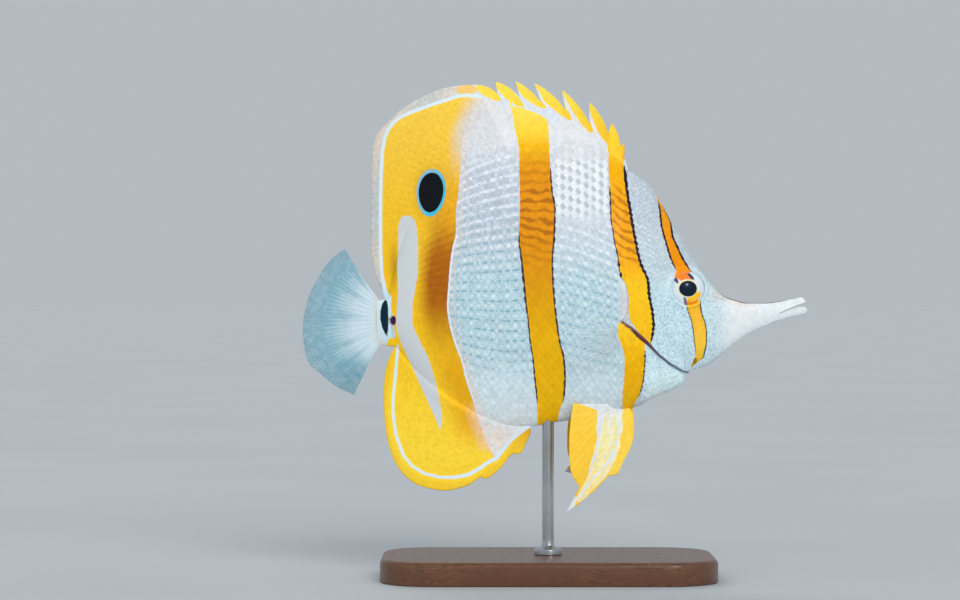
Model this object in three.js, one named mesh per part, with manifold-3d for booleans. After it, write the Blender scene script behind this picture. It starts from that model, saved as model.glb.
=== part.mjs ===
// Copperband butterflyfish (Chelmon rostratus), life size, swimming level, on a small display stand.
//
// Frame: millimetres. +X the way the fish faces, +Z up, +Y its left side. The origin is at the centre of the
// underside of the stand's base. The tail end of the fish is swung a little to its left (+Y).
//
// The fish is one lofted body (snout tip to tail root) that is parted with thin cuts into head, lower jaw, gill
// covers, trunk and tail root, and each fin is a thin sheet that meets the body along its root.

import * as THREE from "three";
import { mergeVertices } from "three/addons/utils/BufferGeometryUtils.js";
import Module from "manifold-3d";

const wasm = await Module();
wasm.setup();

// ---------------------------------------------------------------- sizes

const GAP = 0.3; // clearance between neighbouring solids
const FIN_EDGE = 0.3; // half thickness of a fin at its outer margin
const SPINE_ROOT = 0.62; // radius of a dorsal spine at its root
const SPINE_TIP = 0.34; // radius near its tip

// Swing of the tail to the left: straight ahead of BEND_START, an even curve back to BEND_END, straight after it.
const BEND_START = -14.4;
const BEND_END = -48.9;
const BEND_SLOPE = 0.5;

const EYE = {
  x: 41.6,
  z: 86.7,
  radius: 5.2,
  bulge: 1.5, // how far the cornea stands out of the orbit
  depth: 3.0, // how far the ball reaches inwards
  turn: 14, // degrees that the eye looks forward
};

const BASE = { length: 100, width: 58, height: 7, corner: 16, edge: 1.2 };
const ROD = { x: 0, radius: 1.75, top: 52, collar: 4.2, collarHeight: 2.6 };

// ---------------------------------------------------------------- named outlines, [x, z] in side view

const TOP_LINE = [[77.8, 81.6], [77.4, 82.9], [75.9, 84.3], [74.1, 83.9], [64.2, 82.6], [59.1, 82.7], [56.1, 83.5], [53.5, 84.3], [50.1, 87.1], [34, 112.6], [30.3, 118], [24.6, 122.2], [17.4, 127.8], [6.6, 131.1], [-5.4, 131.4], [-20.4, 127.6], [-32.4, 119.4], [-40.8, 108.9], [-45.6, 96.3], [-49.2, 83.8], [-51.6, 83.4]];
const BELLY_LINE = [[77.8, 80.2], [77.2, 79.2], [73.1, 78.1], [66.6, 76], [60, 73], [53.5, 68.2], [50.2, 65.3], [46.9, 63.3], [42.4, 61.7], [41.2, 60.3], [40.6, 58.3], [38.7, 56.9], [32.1, 54], [25.8, 50.9], [15.6, 48.3], [2.4, 46.6], [-4.5, 45.4], [-10.8, 44.9], [-18.9, 46.8], [-27.9, 51.3], [-35.4, 57], [-42, 63.9], [-45.6, 68.8], [-51.6, 69.6]];
// height of the widest point of each section, and half the width there
const MID_LINE = [[77.8, 81], [63.6, 79.8], [51.6, 79.2], [42.6, 81.6], [30.6, 84], [15.6, 87], [-8.4, 87.9], [-29.4, 84.9], [-44.4, 78], [-51.6, 76.5]];
const HALF_WIDTH = [[77.8, 0.55], [76.8, 1], [72.6, 1.3], [65.1, 1.7], [59.1, 2.15], [54, 3], [49.2, 4.3], [45.6, 5.2], [42, 6.1], [37.2, 7.3], [32.1, 8.6], [26.4, 9.7], [18.6, 10.4], [8.1, 10.3], [-5.4, 9.3], [-17.4, 7.8], [-29.4, 5.7], [-38.4, 4.2], [-45.9, 3], [-51.6, 1.7]];
// half thickness left at the back and the belly line, where the fins grow out
const RIDGE_TOP = [[77.8, 0.25], [51.6, 0.3], [27.6, 0.35], [21, 1], [3.6, 1.7], [-29.4, 1.5], [-44.4, 0.9], [-51.6, 0.7]];
const RIDGE_BELLY = [[77.8, 0.25], [42.6, 0.3], [6.6, 0.4], [-5.4, 1], [-29.4, 1.3], [-44.4, 0.8], [-51.6, 0.7]];
// 1 is an elliptic section, more draws it in towards the back or belly
const PINCH_TOP = [[77.8, 1], [51.6, 1.05], [33.6, 1.2], [21.6, 1.4], [3.6, 1.6], [-29.4, 1.6], [-44.4, 1.3], [-51.6, 1.1]];
const PINCH_BELLY = [[77.8, 1], [45.6, 1.1], [27.6, 1.05], [9.6, 1.15], [-5.4, 1.4], [-29.4, 1.5], [-44.4, 1.3], [-51.6, 1.1]];

const SPINE_TIPS = [[22.3, 126.6], [22.4, 130.6], [18.8, 136.7], [12.2, 143], [3.9, 146.7], [-4.3, 148.7], [-10, 149.3], [-16, 149.1], [-21.6, 148.2]];
// where the membrane meets each spine's front edge, from the first spine back
const SPINE_NOTCHES = [[23.9, 124], [22.9, 127.2], [21.6, 129.7], [18.1, 133], [12.7, 135.8], [5.7, 139.8], [-1.2, 141.6], [-7.8, 143.7], [-14.5, 145]];
const SPINE_ROOTS_X = [23.6, 21.4, 18.2, 14.2, 9.6, 4.8, 0, -4.8, -9.4];
const SPINY_BACK = [[-16.8, 140.5], [-13.4, 135.5], [-10.8, 131.4]];

const SOFT_DORSAL_MARGIN = [[-21.6, 148.2], [-27.9, 147.8], [-32.5, 146.9], [-36.9, 145.2], [-40.9, 143.2], [-45, 140.4], [-48.1, 137.6], [-50.7, 135.2], [-52.1, 133.2], [-53.1, 128.4], [-53.6, 113.4], [-53.6, 98.4], [-52.5, 92.4], [-50.1, 86.4], [-48.6, 84.3]];
const ANAL_MARGIN = [[-4.5, 45.1], [-6.4, 40.7], [-8.7, 37.1], [-10, 37.2], [-14.2, 32.9], [-19.1, 29.6], [-19.8, 30.1], [-24.1, 27.6], [-31.2, 26], [-38.4, 27.3], [-44.3, 31.5], [-47.6, 37.8], [-49.2, 45.6], [-49.7, 54], [-49.2, 61.3], [-47.2, 67.2], [-45.6, 69.1]];
const CAUDAL_OUTLINE = [[-52.9, 85.2], [-55.5, 88.8], [-58.2, 93.9], [-61.8, 99.3], [-66, 96], [-70.8, 89.4], [-73.5, 83.4], [-75, 74.4], [-73.5, 64.8], [-69.3, 60.6], [-64.2, 56.7], [-58.8, 54.3], [-56.1, 57], [-54, 60.1], [-51.4, 64.3], [-48.6, 68.8]];
const PECTORAL_OUTLINE = [[20.4, 75.3], [15.6, 77.4], [11.1, 78.1], [7.2, 77], [5.1, 73.2], [4.6, 69], [6, 64.8], [9.6, 62.4], [14.7, 64.2], [18.6, 67.5], [21, 69.9]];
const PELVIC_FRONT = [[25.5, 50], [25.7, 46.2], [25.5, 42.3], [24.5, 39], [23.2, 36.6], [21.8, 33.9], [20.4, 31.3], [18, 30.9], [16.2, 29.1], [13.7, 26.6], [10, 23.5]];
const PELVIC_BACK = [[8.5, 24.8], [9.3, 26.7], [6.8, 31.8], [6.1, 36.3], [6.1, 41.4], [6.6, 47.8], [7.3, 53.2], [9.2, 52.9], [13.7, 51.6], [15.6, 50.6], [20.4, 50.3]];
const PELVIC_FILAMENT = { right: [5, 20.1], left: [5.5, 26.4] }; // tips

const NAPE_CUT = [[30, 137.4], [27.6, 125.4], [25.5, 121.8], [22.2, 113.4], [20.7, 101.4], [20.6, 87.9], [21.6, 76.8], [24.9, 74.8], [29.7, 70.3], [33.4, 66.7], [36.5, 64.2], [40.2, 61.9], [41.6, 60.9], [44.4, 53.4]];
const TAIL_ROOT_X = -45; // where the trunk ends and the tail root begins
const JAW = [[79.8, 80.8], [76.4, 81.1], [73.2, 80.6], [70.7, 79.8], [69.3, 78.6], [68.2, 73.2], [79.8, 73.2]];
const JAW_CLEARANCE = [[79.8, 83.3], [76.8, 82.7], [73.2, 81.2], [70.4, 80.1], [69, 78.7], [67.9, 73.2], [79.8, 73.2]];
// its rear edge is the nape cut
const GILL_COVER = [[18, 88.2], [22.1, 88.6], [25.2, 90.6], [28.8, 90], [32.1, 84], [34.2, 75.9], [37.2, 68.4], [40.6, 62.6], [36, 60.5], [24, 70], [18, 74]];
const GILL_COVER_THICKNESS = 1.0;

// ---------------------------------------------------------------- curves

// Monotone cubic through points whose first value only rises or only falls.
function smooth(points) {
  const p = points[0][0] < points[points.length - 1][0] ? points : [...points].reverse();
  const n = p.length;
  const step = (i) => p[i + 1][0] - p[i][0];
  const rise = (i) => (p[i + 1][1] - p[i][1]) / step(i);
  const slope = p.map((_, i) => {
    if (i === 0) return rise(0);
    if (i === n - 1) return rise(n - 2);
    const a = rise(i - 1),
      b = rise(i);
    if (a * b <= 0) return 0;
    const w1 = 2 * step(i) + step(i - 1),
      w2 = step(i) + 2 * step(i - 1);
    return (w1 + w2) / (w1 / a + w2 / b);
  });
  return (x) => {
    if (x <= p[0][0]) return p[0][1];
    if (x >= p[n - 1][0]) return p[n - 1][1];
    let i = 0;
    while (x > p[i + 1][0]) i++;
    const h = step(i),
      t = (x - p[i][0]) / h,
      u = 1 - t;
    return (
      p[i][1] * (1 + 2 * t) * u * u +
      p[i + 1][1] * (3 - 2 * t) * t * t +
      h * (slope[i] * t * u * u - slope[i + 1] * t * t * u)
    );
  };
}

// A curve through points in the side view, from 0 to 1 along its length.
function along(points) {
  const far = [0];
  for (let i = 1; i < points.length; i++)
    far.push(far[i - 1] + Math.hypot(points[i][0] - points[i - 1][0], points[i][1] - points[i - 1][1]));
  const total = far[far.length - 1];
  const x = smooth(points.map((p, i) => [far[i], p[0]]));
  const z = smooth(points.map((p, i) => [far[i], p[1]]));
  return (t) => [x(t * total), z(t * total)];
}

const topLine = smooth(TOP_LINE);
const bellyLine = smooth(BELLY_LINE);
const midLine = smooth(MID_LINE);
const halfWidth = smooth(HALF_WIDTH);
const ridgeTop = smooth(RIDGE_TOP);
const ridgeBelly = smooth(RIDGE_BELLY);
const pinchTop = smooth(PINCH_TOP);
const pinchBelly = smooth(PINCH_BELLY);

function bend(x) {
  if (x >= BEND_START) return 0;
  const span = BEND_START - BEND_END;
  const into = Math.min(BEND_START - x, span);
  return (BEND_SLOPE * into * into) / (2 * span) + BEND_SLOPE * Math.max(0, BEND_END - x);
}

// Half thickness of the body at a height, without the swing of the tail.
function bodyHalf(x, z) {
  const mid = midLine(x),
    up = z > mid;
  const reach = Math.min(1, Math.abs(z - mid) / Math.abs((up ? topLine(x) : bellyLine(x)) - mid));
  const ridge = (up ? ridgeTop : ridgeBelly)(x);
  const pinch = (up ? pinchTop : pinchBelly)(x);
  return ridge + (halfWidth(x) - ridge) * Math.pow(Math.sqrt(1 - reach * reach), pinch);
}

// ---------------------------------------------------------------- solids

function geometryOf(positions, faces) {
  const g = new THREE.BufferGeometry();
  g.setAttribute("position", new THREE.Float32BufferAttribute(positions.flat(), 3));
  g.setIndex(faces.flat());
  return g;
}

function solidOf(geometry) {
  const g = geometry.clone();
  for (const name of Object.keys(g.attributes)) if (name !== "position") g.deleteAttribute(name);
  const merged = mergeVertices(g, 1e-4);
  return new wasm.Manifold(
    new wasm.Mesh({
      numProp: 3,
      vertProperties: new Float32Array(merged.attributes.position.array),
      triVerts: new Uint32Array(merged.index.array),
    }),
  );
}

function geometryFrom(solid) {
  const m = solid.getMesh();
  const g = new THREE.BufferGeometry();
  const v = new Float32Array(m.numVert * 3);
  for (let i = 0; i < m.numVert; i++) v.set(m.vertProperties.subarray(i * m.numProp, i * m.numProp + 3), i * 3);
  g.setAttribute("position", new THREE.BufferAttribute(v, 3));
  g.setIndex(new THREE.BufferAttribute(new Uint32Array(m.triVerts), 1));
  return g;
}

// The body as rings of points from the snout back. `thinner` draws its sides in by so much.
function bodyLoft(stations, quarter, thinner = 0) {
  const positions = [],
    faces = [],
    count = 4 * quarter + 2; // points in a ring
  for (const x of stations) {
    const top = topLine(x),
      belly = bellyLine(x),
      mid = midLine(x);
    const side = [];
    for (let k = 0; k <= 2 * quarter; k++) {
      const a = (Math.PI / 2) * (k / quarter);
      const up = k <= quarter;
      const z = mid + Math.cos(a) * (up ? top - mid : mid - belly);
      const ridge = (up ? ridgeTop : ridgeBelly)(x);
      const pinch = (up ? pinchTop : pinchBelly)(x);
      const wide = Math.max(halfWidth(x) - thinner, 0.3);
      const least = thinner > 0 ? Math.max(Math.min(ridge, wide) - thinner, 0.55 - 0.3 * thinner) : ridge;
      side.push([least + (wide - least) * Math.pow(Math.max(Math.sin(a), 0), pinch), z]);
    }
    for (const [y, z] of side) positions.push([x, bend(x) - y, z]);
    for (const [y, z] of side.reverse()) positions.push([x, bend(x) + y, z]);
  }
  const rings = stations.length;
  for (let i = 0; i + 1 < rings; i++)
    for (let k = 0; k < count; k++) {
      const a = i * count + k,
        b = i * count + ((k + 1) % count),
        c = a + count,
        d = b + count;
      faces.push([a, b, d], [a, d, c]);
    }
  const half = count / 2;
  for (const [ring, front] of [[0, true], [rings - 1, false]])
    for (let k = 0; k + 1 < half; k++) {
      const a = ring * count + k,
        b = a + 1,
        d = ring * count + count - 1 - k,
        c = d - 1;
      if (front) faces.push([a, c, b], [a, d, c]);
      else faces.push([a, b, c], [a, c, d]);
    }
  return geometryOf(positions, faces);
}

// A prism across the whole fish with this outline in side view.
const ACROSS = 60;
function prism(outline, from = -ACROSS, to = ACROSS) {
  const shape = new THREE.Shape(outline.map(([x, z]) => new THREE.Vector2(x, z)));
  const g = new THREE.ExtrudeGeometry(shape, { depth: to - from, bevelEnabled: false });
  g.rotateX(Math.PI / 2); // drawn in x and z, so the depth runs to -Y
  g.translate(0, to, 0);
  return solidOf(g);
}

// Everything in front of (side 1) or behind (side -1) a curve that runs down the fish, half a gap clear of it.
function sideOf(curve, side) {
  const edge = curve.map(([x, z], i) => {
    const [ax, az] = curve[Math.max(0, i - 1)],
      [bx, bz] = curve[Math.min(curve.length - 1, i + 1)];
    const length = Math.hypot(bx - ax, bz - az);
    return [x - ((bz - az) / length) * (GAP / 2) * side, z + ((bx - ax) / length) * (GAP / 2) * side];
  });
  const far = side > 0 ? 200 : -200;
  return prism([...edge, [far, edge[edge.length - 1][1] - 60], [far, edge[0][1] + 60]]);
}

// A thin closed sheet with this outline, at y = middle(x, z), half(x, z) thick to each side.
function sheet(outline, middle, half) {
  const contour = outline.map(([x, z]) => new THREE.Vector2(x, z));
  if (THREE.ShapeUtils.isClockWise(contour)) contour.reverse();
  const triangles = THREE.ShapeUtils.triangulateShape(contour, []);
  const n = contour.length,
    positions = [],
    faces = [];
  for (const way of [-1, 1])
    for (const p of contour) positions.push([p.x, middle(p.x, p.y) + way * half(p.x, p.y), p.y]);
  for (const [a, b, c] of triangles) faces.push([a, b, c], [c + n, b + n, a + n]);
  for (let i = 0; i < n; i++) {
    const j = (i + 1) % n;
    faces.push([i, i + n, j + n], [i, j + n, j]);
  }
  return geometryOf(positions, faces);
}

// A fin on a grid of rays: root(s) to margin(s), half(s, t) thick, swung with the tail.
function rayedFin(root, margin, half, rays, rows) {
  const positions = [],
    faces = [];
  for (let i = 0; i <= rays; i++)
    for (let j = 0; j <= rows; j++) {
      const s = i / rays,
        t = j / rows,
        [ax, az] = root(s),
        [bx, bz] = margin(s),
        x = ax + (bx - ax) * t,
        z = az + (bz - az) * t,
        y = half(s, t);
      positions.push([x, bend(x) - y, z], [x, bend(x) + y, z]);
    }
  const at = (i, j, far) => 2 * (i * (rows + 1) + j) + far;
  const quad = (a, b, c, d) => faces.push([a, b, c], [a, c, d]);
  for (let i = 0; i < rays; i++)
    for (let j = 0; j < rows; j++) {
      quad(at(i, j, 0), at(i, j + 1, 0), at(i + 1, j + 1, 0), at(i + 1, j, 0));
      quad(at(i, j, 1), at(i + 1, j, 1), at(i + 1, j + 1, 1), at(i, j + 1, 1));
    }
  for (let i = 0; i < rays; i++) {
    quad(at(i, 0, 0), at(i + 1, 0, 0), at(i + 1, 0, 1), at(i, 0, 1));
    quad(at(i, rows, 0), at(i, rows, 1), at(i + 1, rows, 1), at(i + 1, rows, 0));
  }
  for (let j = 0; j < rows; j++) {
    quad(at(0, j, 0), at(0, j, 1), at(0, j + 1, 1), at(0, j + 1, 0));
    quad(at(rays, j, 0), at(rays, j + 1, 0), at(rays, j + 1, 1), at(rays, j, 1));
  }
  return outwards(geometryOf(positions, faces));
}

// Turns a closed geometry whose faces point in.
function outwards(geometry) {
  const p = geometry.attributes.position,
    index = geometry.index.array,
    [a, b, c] = [0, 1, 2].map(() => new THREE.Vector3());
  let volume = 0;
  for (let i = 0; i < index.length; i += 3) {
    a.fromBufferAttribute(p, index[i]);
    b.fromBufferAttribute(p, index[i + 1]);
    c.fromBufferAttribute(p, index[i + 2]);
    volume += a.dot(b.cross(c));
  }
  if (volume < 0)
    for (let i = 0; i < index.length; i += 3) [index[i + 1], index[i + 2]] = [index[i + 2], index[i + 1]];
  return geometry;
}

// A round spine that narrows from its root to its tip along a curve.
function spine(curve, rootRadius, tipRadius, steps = 6, sides = 6) {
  const positions = [],
    faces = [];
  for (let i = 0; i <= steps; i++) {
    const t = i / steps,
      p = curve.getPoint(t),
      d = curve.getTangent(t),
      r = rootRadius + (tipRadius - rootRadius) * t;
    for (let k = 0; k < sides; k++) {
      const a = (2 * Math.PI * k) / sides;
      // across the spine in side view is (-d.z, d.x), and the other way across is Y
      positions.push([p.x - d.z * r * Math.cos(a), p.y + r * Math.sin(a), p.z + d.x * r * Math.cos(a)]);
    }
  }
  for (let i = 0; i < steps; i++)
    for (let k = 0; k < sides; k++) {
      const a = i * sides + k,
        b = i * sides + ((k + 1) % sides);
      faces.push([a, b, b + sides], [a, b + sides, a + sides]);
    }
  for (let k = 1; k + 1 < sides; k++) {
    faces.push([0, k + 1, k]);
    const e = steps * sides;
    faces.push([e, e + k, e + k + 1]);
  }
  return outwards(geometryOf(positions, faces));
}

// ---------------------------------------------------------------- the body, parted

const SNOUT_END = TOP_LINE[0][0],
  TAIL_END = TOP_LINE[TOP_LINE.length - 1][0];
const STATIONS = 50,
  QUARTER = 7;
const stations = [];
for (let i = 0; i <= STATIONS; i++) {
  const t = i / STATIONS;
  // closer together on the snout, the face and the tail root
  stations.push(SNOUT_END + (TAIL_END - SNOUT_END) * (0.55 * t + 0.45 * t * t * (3 - 2 * t)));
}

const whole = solidOf(outwards(bodyLoft(stations, QUARTER)));
const inner = solidOf(outwards(bodyLoft(stations, QUARTER, GILL_COVER_THICKNESS)));
const innerClear = solidOf(outwards(bodyLoft(stations, QUARTER, GILL_COVER_THICKNESS + GAP)));

// The outline of the gill cover, let out by a little all round.
function letOut(outline, by) {
  const n = outline.length;
  const turn = THREE.ShapeUtils.area(outline.map(([x, z]) => new THREE.Vector2(x, z))) > 0 ? 1 : -1;
  return outline.map(([x, z], i) => {
    const [ax, az] = outline[(i + n - 1) % n],
      [bx, bz] = outline[(i + 1) % n],
      length = Math.hypot(bx - ax, bz - az);
    return [x + ((bz - az) / length) * by * turn, z - ((bx - ax) / length) * by * turn];
  });
}

const aheadOfNape = sideOf(NAPE_CUT, 1);
const coverRight = whole.intersect(prism(GILL_COVER, -ACROSS, 0)).intersect(aheadOfNape).subtract(inner),
  coverLeft = whole.intersect(prism(GILL_COVER, 0, ACROSS)).intersect(aheadOfNape).subtract(inner);
const gillRoom = prism(letOut(GILL_COVER, GAP)).subtract(innerClear);

// The eyeball: a shallow dome outside the orbit and a deeper one inside it.
function eyeball(grow = 0) {
  const profile = [],
    steps = 5;
  for (let i = 0; i <= 2 * steps; i++) {
    const a = -Math.PI / 2 + (Math.PI / 2) * (i / steps);
    const r = i === 0 || i === 2 * steps ? 0 : Math.cos(a) * (EYE.radius + grow);
    profile.push(new THREE.Vector2(r, Math.sin(a) * ((a < 0 ? EYE.depth : EYE.bulge) + grow)));
  }
  const g = new THREE.LatheGeometry(profile, 18);
  g.rotateX(Math.PI / 2); // the cornea looks along +Z
  return g;
}

function placeEye(geometry, side) {
  // side -1 is the right eye: the cornea turns to -Y and a little forward
  const g = geometry.clone();
  g.rotateX(side < 0 ? Math.PI / 2 : -Math.PI / 2);
  g.rotateZ(THREE.MathUtils.degToRad(-side * EYE.turn));
  g.translate(EYE.x, side * (bodyHalf(EYE.x, EYE.z) - 0.25), EYE.z);
  return g;
}

const sockets = [-1, 1].map((side) => solidOf(placeEye(eyeball(GAP), side)));

let head = whole
  .intersect(aheadOfNape)
  .subtract(prism(JAW_CLEARANCE))
  .subtract(gillRoom);
for (const socket of sockets) head = head.subtract(socket);

const lowerJaw = whole.intersect(prism(JAW));

// The rod enters the belly in a blind hole.
const rodHole = new THREE.CylinderGeometry(ROD.radius + GAP, ROD.radius + GAP, 40, 20);
rodHole.rotateX(Math.PI / 2);
rodHole.translate(ROD.x, 0, ROD.top + GAP - 20);

const behindHead = whole.intersect(sideOf(NAPE_CUT, -1));
const tailRootCut = [[TAIL_ROOT_X, 200], [TAIL_ROOT_X, 0]];
const trunk = behindHead.intersect(sideOf(tailRootCut, 1)).subtract(solidOf(rodHole));
const tailRoot = behindHead.intersect(sideOf(tailRootCut, -1));

// ---------------------------------------------------------------- the fins

// The roots of the fins follow the back and belly lines, a gap clear of them.
function clearOf(line, way) {
  return (x) => {
    const slope = (line(x + 0.2) - line(x - 0.2)) / 0.4,
      length = Math.hypot(slope, 1);
    return [x - (way * slope * GAP) / length, line(x) + (way * GAP) / length];
  };
}
const onBack = clearOf(topLine, 1),
  onBelly = clearOf(bellyLine, -1);

const fade = (root, t) => FIN_EDGE + (root - FIN_EDGE) * Math.pow(1 - t, 1.35);

// Soft part of the dorsal fin, from behind the ninth spine to the tail root.
const SOFT_FROM = -11.2,
  SOFT_TO = -48.4;
const softRootX = (s) => SOFT_FROM + (SOFT_TO - SOFT_FROM) * Math.pow(s, 0.86);
const softMargin = along(SOFT_DORSAL_MARGIN.map(([x, z], i) => (i === 0 ? [x - GAP, z] : [x, z])));
const softDorsal = rayedFin(
  (s) => onBack(softRootX(s)),
  (s) => softMargin(Math.min(s, 1) * 0.985),
  (s, t) => fade(ridgeTop(softRootX(s)) * (1 - 0.5 * s * s), t),
  26,
  5,
);

// Anal fin.
const ANAL_FROM = -4.9,
  ANAL_TO = -45.2;
const analRootX = (s) => ANAL_FROM + (ANAL_TO - ANAL_FROM) * Math.pow(s, 0.9);
const analMargin = along(ANAL_MARGIN);
const analFin = rayedFin(
  (s) => onBelly(analRootX(s)),
  (s) => analMargin(0.02 + 0.965 * s),
  (s, t) => fade(ridgeBelly(analRootX(s)) * (1 - 0.4 * s * s), t),
  34,
  5,
);

// Spiny part of the dorsal fin: a notched membrane and nine raked spines.
const spinyOutline = [];
for (let i = 0; i < 8; i++) spinyOutline.push(onBack(23.9 + ((SOFT_FROM + 0.5 - 23.9) * i) / 7));
for (const p of [...SPINY_BACK].reverse()) spinyOutline.push([p[0] + 0.15, p[1]]);
const frontEdge = (i) =>
  new THREE.QuadraticBezierCurve(
    new THREE.Vector2(...SPINE_NOTCHES[i]),
    new THREE.Vector2(
      (SPINE_NOTCHES[i][0] + SPINE_TIPS[i][0]) / 2 + 0.2 * (SPINE_TIPS[i][1] - SPINE_NOTCHES[i][1]),
      (SPINE_NOTCHES[i][1] + SPINE_TIPS[i][1]) / 2 - 0.2 * (SPINE_TIPS[i][0] - SPINE_NOTCHES[i][0]),
    ),
    new THREE.Vector2(...SPINE_TIPS[i]),
  );
for (let i = SPINE_TIPS.length - 1; i >= 0; i--) {
  const edge = frontEdge(i).getPoints(3).reverse(); // tip first, down to the notch
  for (const p of edge) spinyOutline.push([p.x, p.y]);
}
spinyOutline.shift();
const spinyHalf = (x, z) => {
  const over = Math.max(0, z - topLine(x));
  return 0.32 + (ridgeTop(x) - 0.32) * Math.exp(-over / 3.2);
};
let spinyDorsal = solidOf(outwards(sheet(spinyOutline, bend, spinyHalf)));
for (let i = 0; i < SPINE_TIPS.length; i++) {
  const [rx, rz] = onBack(SPINE_ROOTS_X[i]),
    [nx, nz] = SPINE_NOTCHES[i],
    [tx, tz] = SPINE_TIPS[i];
  const curve = new THREE.CatmullRomCurve3([
    new THREE.Vector3(rx, 0, rz + SPINE_ROOT),
    new THREE.Vector3(nx - 0.4, 0, nz - 0.5),
    new THREE.Vector3(tx + 0.35, bend(tx), tz - 0.35),
  ]);
  spinyDorsal = spinyDorsal.add(solidOf(spine(curve, SPINE_ROOT, SPINE_TIP)));
}
// The spines' roots are trimmed to the back line and the last one to the soft fin.
const backClear = [];
for (let i = 0; i <= 24; i++) backClear.push(onBack(32 + ((-20 - 32) * i) / 24));
spinyDorsal = spinyDorsal.intersect(prism([...backClear, [-30, 170], [40, 170]]));
const lastRay = [[-21.6 + 0.05, 149], [-21.6 + 0.05, 148.3], ...SPINY_BACK.map(([x, z]) => [x + 0.1, z]), [-10.6, 125]];
spinyDorsal = spinyDorsal.intersect(prism([...lastRay, [60, 125], [60, 149.5], [0, 160], [-21.5, 155]]));

// Tail fin.
const caudalRoot = [[TAIL_END - GAP, 69.2], [TAIL_END - GAP, 83.6]];
const caudal = outwards(
  sheet([...caudalRoot, ...CAUDAL_OUTLINE], bend, (x) =>
    Math.min(0.75, Math.max(FIN_EDGE, 0.66 - (TAIL_END - x) * 0.016)),
  ),
);

// Pectoral fins, held out from the flanks. Pelvic fins, hanging and spread a little.
const PECTORAL_SPREAD = 0.9; // sideways for each millimetre back
const pectoralRoot = bodyHalf(20.6, 72.6) + 0.5;
const pectoral = (side) =>
  outwards(
    sheet(
      PECTORAL_OUTLINE,
      (x) => side * (pectoralRoot + Math.max(0, 20.6 - x) * PECTORAL_SPREAD),
      (x) => (x > 18 ? 0.42 : 0.3),
    ),
  );

// The left one is swung further out, so that it hangs less deep.
const PELVIC_ROOT = { x: 20.4, y: 3.1, z: 50 };
const PELVIC_SPREAD = 0.27; // sideways for each millimetre back
const PELVIC_SWING = {
  right: { down: 1, out: 0.1 },
  left: { down: 0.8, out: 0.4 },
};
function pelvic(name, side) {
  const swing = PELVIC_SWING[name],
    tip = PELVIC_FILAMENT[name],
    hang = ([x, z]) => [x, z > PELVIC_ROOT.z ? z : PELVIC_ROOT.z + (z - PELVIC_ROOT.z) * swing.down];
  const front = PELVIC_FRONT.map(hang),
    back = PELVIC_BACK.map(hang);
  const dx = tip[0] - back[0][0],
    dz = tip[1] - back[0][1],
    length = Math.hypot(dx, dz);
  const across = [(-dz / length) * 0.35, (dx / length) * 0.35];
  const outline = [
    ...front,
    [tip[0] + across[0], tip[1] + across[1]],
    [tip[0] - across[0], tip[1] - across[1]],
    ...back,
  ];
  return outwards(
    sheet(
      outline,
      (x, z) =>
        side *
        (PELVIC_ROOT.y + (PELVIC_ROOT.x - x) * PELVIC_SPREAD + Math.max(0, PELVIC_ROOT.z - z) * swing.out),
      (x, z) => (z > 49 ? 0.5 : 0.34),
    ),
  );
}

// ---------------------------------------------------------------- the stand

function roundedRectangle(length, width, corner) {
  const shape = new THREE.Shape();
  const x = length / 2 - corner,
    y = width / 2 - corner;
  shape.absarc(x, y, corner, 0, Math.PI / 2);
  shape.absarc(-x, y, corner, Math.PI / 2, Math.PI);
  shape.absarc(-x, -y, corner, Math.PI, 1.5 * Math.PI);
  shape.absarc(x, -y, corner, 1.5 * Math.PI, 2 * Math.PI);
  return shape;
}
const base = new THREE.ExtrudeGeometry(
  roundedRectangle(BASE.length - 2 * BASE.edge, BASE.width - 2 * BASE.edge, BASE.corner - BASE.edge),
  {
    depth: BASE.height - 2 * BASE.edge,
    bevelEnabled: true,
    bevelThickness: BASE.edge,
    bevelSize: BASE.edge,
    bevelSegments: 1,
    curveSegments: 6,
  },
);
base.translate(0, 0, BASE.edge);

const foot = BASE.height + GAP;
const rod = new THREE.LatheGeometry(
  [
    [0, foot],
    [ROD.collar, foot],
    [ROD.collar, foot + ROD.collarHeight * 0.6],
    [ROD.collar * 0.75, foot + ROD.collarHeight],
    [ROD.radius, foot + ROD.collarHeight],
    [ROD.radius, ROD.top],
    [0, ROD.top],
  ].map(([r, z]) => new THREE.Vector2(r, z)),
  24,
);
rod.rotateX(Math.PI / 2);
rod.translate(ROD.x, 0, 0);

// ---------------------------------------------------------------- the scene graph

const finish = (color, roughness, metalness = 0) =>
  new THREE.MeshStandardMaterial({ color, roughness, metalness });
const silver = () => finish(0xd3dcdf, 0.38);
const gold = () => finish(0xe8a821, 0.42);
const clear = () => finish(0xbfd4d6, 0.45);

const part = new THREE.Group();
function add(name, geometry, material) {
  const mesh = new THREE.Mesh(geometry, material);
  mesh.name = name;
  part.add(mesh);
}

add("head", geometryFrom(head), silver());
add("lower_jaw", geometryFrom(lowerJaw), silver());
add("gill_cover_right", geometryFrom(coverRight), gold());
add("gill_cover_left", geometryFrom(coverLeft), gold());
add("eye_right", placeEye(eyeball(), -1), finish(0x1b2733, 0.12));
add("eye_left", placeEye(eyeball(), 1), finish(0x1b2733, 0.12));
add("trunk", geometryFrom(trunk), silver());
add("tail_root", geometryFrom(tailRoot), gold());
add("dorsal_fin_spiny", geometryFrom(spinyDorsal), gold());
add("dorsal_fin_soft", softDorsal, gold());
add("anal_fin", analFin, gold());
add("caudal_fin", caudal, clear());
add("pectoral_fin_right", pectoral(-1), clear());
add("pectoral_fin_left", pectoral(1), clear());
add("pelvic_fin_right", pelvic("right", -1), gold());
add("pelvic_fin_left", pelvic("left", 1), gold());
add("stand_base", base, finish(0x3a2417, 0.5));
add("stand_rod", rod, finish(0xb9bcbe, 0.3, 1));

export default part;
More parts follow.
